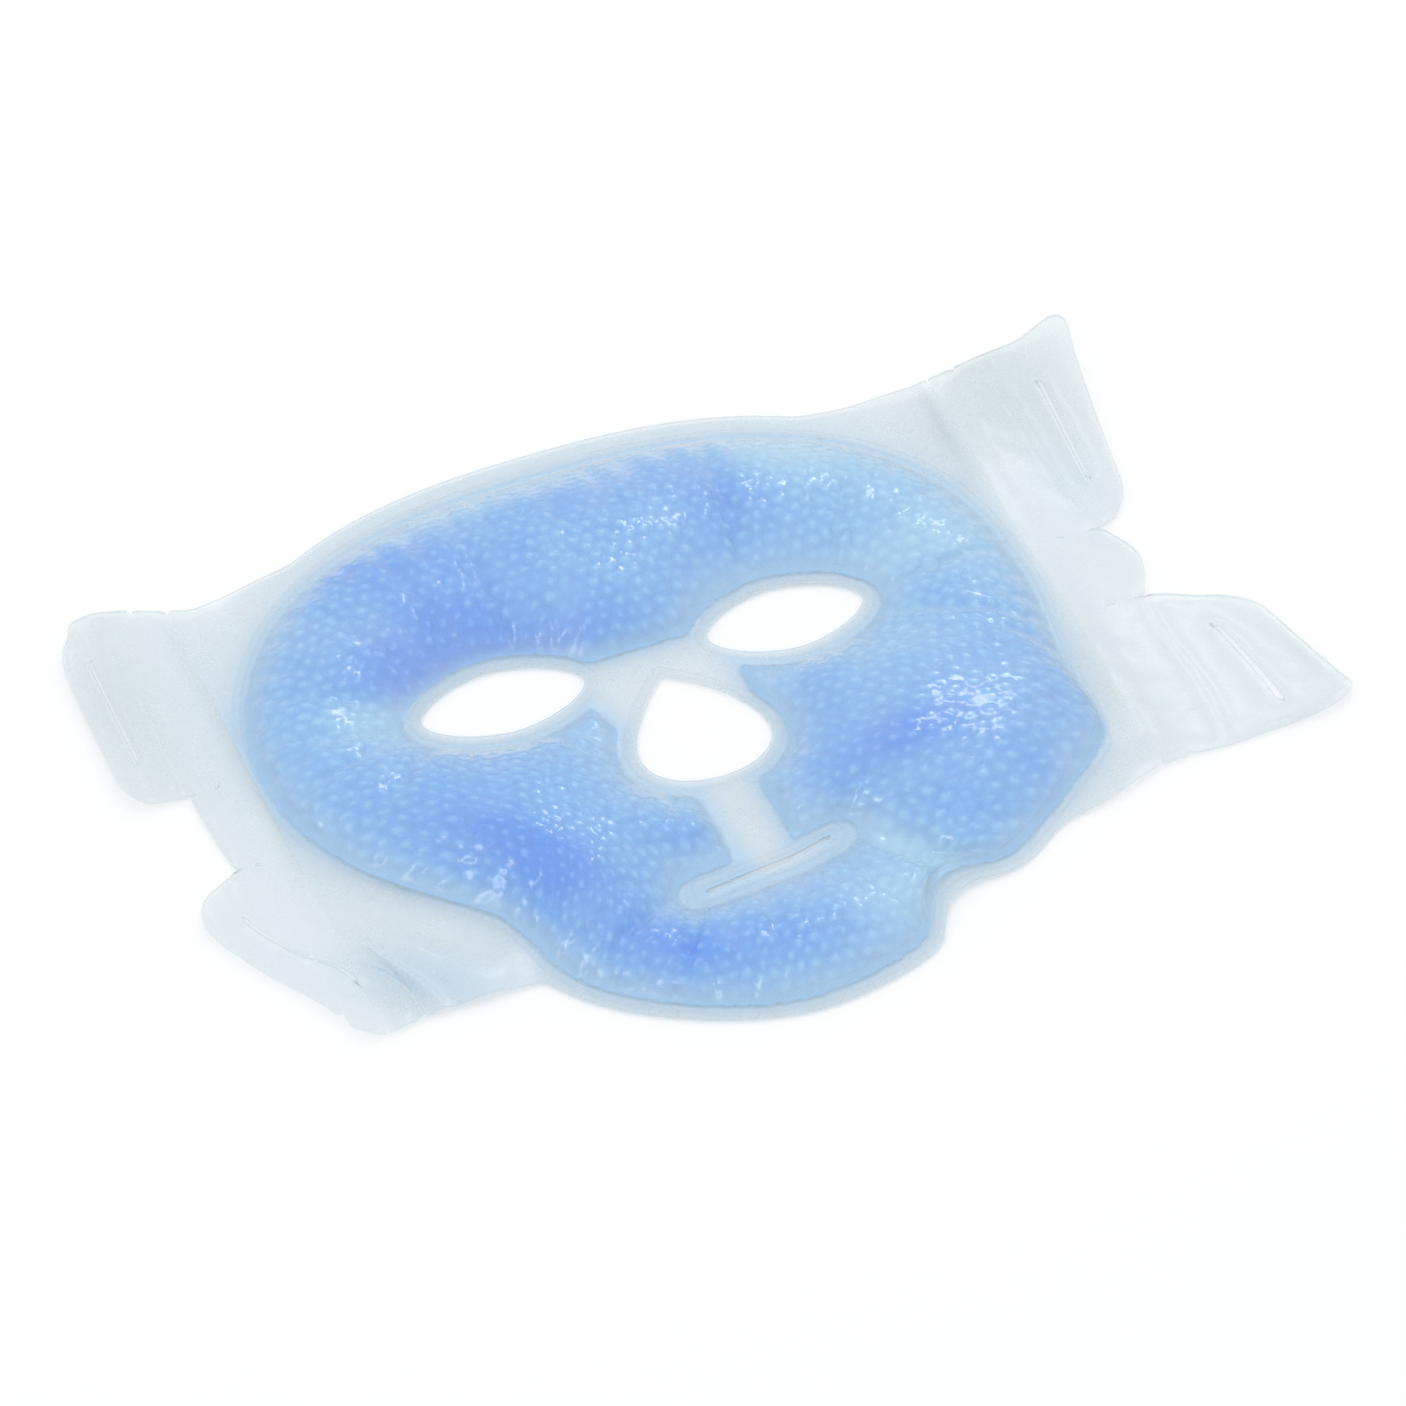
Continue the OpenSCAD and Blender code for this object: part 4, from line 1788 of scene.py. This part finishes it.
class GelMask:
    """Builds every piece and dresses it, and puts the face's pieces on their body."""

    def __init__(self) -> None:
        """Works out the plan, how it lies and the finishes."""
        self.lie = Lie()
        self.plan = Plan(self.lie)
        self.film = FilmFinish("clear_soft_film").make()
        self.back_film = FilmFinish(
            "clear_back_film", tint=(0.99, 0.993, 0.995), haze=0.0, edge_haze=0.1, scuffs=0.06
        ).make()
        self.weld_film = FilmFinish(
            "pressed_weld",
            tint=(0.985, 0.99, 0.993),
            milk=(226, 236, 242),
            haze=0.06,
            edge_haze=0.1,
            rough=0.3,
        ).make()
        self.gel_blue = GelFinish().make()

    def _dress(self, piece: bpy.types.Object, material: bpy.types.Material, node: str) -> None:
        """Gives a piece its material and hides the part of the model that it stands for.

        Args:
            piece: The piece.
            material: Its only material.
            node: The node that it replaces.
        """
        piece.data.materials.clear()
        piece.data.materials.append(material)
        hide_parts(node)
        LOG.info("%s: %d faces, stands for %s", piece.name, len(piece.data.polygons), node)

    def build(self) -> None:
        """Builds the face and both sides."""
        self._build_face()
        for side in Side:
            self._build_side(side)

    def _build_face(self) -> None:
        """Builds the gel, the two films and the welds."""
        plan = self.plan
        face = PaddedFace(plan, self.lie)
        gel, front, cut = face.gel(), face.front_film(), face.back_film()
        back = cut.piece
        self._dress(gel, self.gel_blue, "gel_fill")
        self._dress(front, self.film, "front_film")
        self._dress(back, self.back_film, "back_film")
        self._declare(front, cut, "stretched", [gel])
        self._declare(back, cut, "laid", [])
        eyes = {"left_eye": plan.left_eye, "right_eye": plan.right_eye}
        openings = eyes | {"nose": plan.nose, "mouth": plan.mouth}
        welds = [face.weld("perimeter_weld_bead", plan.gel_outline, FILM.ply + FILM.bead_inset)]
        welds += [face.weld(f"{name}_weld_bead", shape, FILM.bead_inset) for name, shape in openings.items()]
        for bead in welds:
            self._dress(bead, self.weld_film, bead.name.removesuffix("_bead"))
        for piece in (gel, front, back, *welds):
            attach(piece, "root")

    def _build_side(self, side: Side) -> None:
        """Builds a wing and its two tabs.

        Args:
            side: The side of the face.
        """
        maker = SideFilm(self.plan, self.lie, side)
        name, s = side.name.lower(), SIDES
        wing = maker.wing()
        self._dress(wing.piece, self.film, f"{name}_wing")
        self._declare(wing.piece, wing, "laid", [])
        self._bend(wing.piece, "root", f"{name}_wing", side, s.wing_crease)
        for level in Level:
            tab = maker.tab(level)
            self._dress(tab.piece, self.film, f"{level.value}_{name}_tab")
            self._declare(tab.piece, tab, "laid", [])
            self._bend(tab.piece, f"{name}_wing", f"{level.value}_{name}_tab", side, s.tab_crease)

    @staticmethod
    def _bend(piece: bpy.types.Object, inner: str, outer: str, side: Side, crease: float) -> None:
        """Bakes a piece's placing into its mesh.

        Args:
            piece: The piece.
            inner: The body on the face's side of the crease; not used.
            outer: The body beyond the crease; not used.
            side: The side of the face; not used.
            crease: The crease's distance from the middle; not used.
        """
        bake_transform(piece)

    @staticmethod
    def _declare(piece: bpy.types.Object, cut: Cut, held: str, rests_on: Sequence[bpy.types.Object]) -> None:
        """Logs a piece's cut size.

        Args:
            piece: The piece.
            cut: Its flat size.
            held: How it is held; not used.
            rests_on: The pieces that it lies on; not used.
        """
        width, length, area = cut.width / MM, cut.length / MM, cut.area / MM**2
        LOG.info("%s: cut %.0f x %.0f mm, %.0f mm2", piece.name, width, length, area)


def main() -> None:
    """Builds the mask and its stage."""
    logging.basicConfig(level=logging.INFO, format="%(relativeCreated)6d ms  %(message)s")
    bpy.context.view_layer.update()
    Studio().build()
    GelMask().build()


if __name__ == "__main__":
    main()
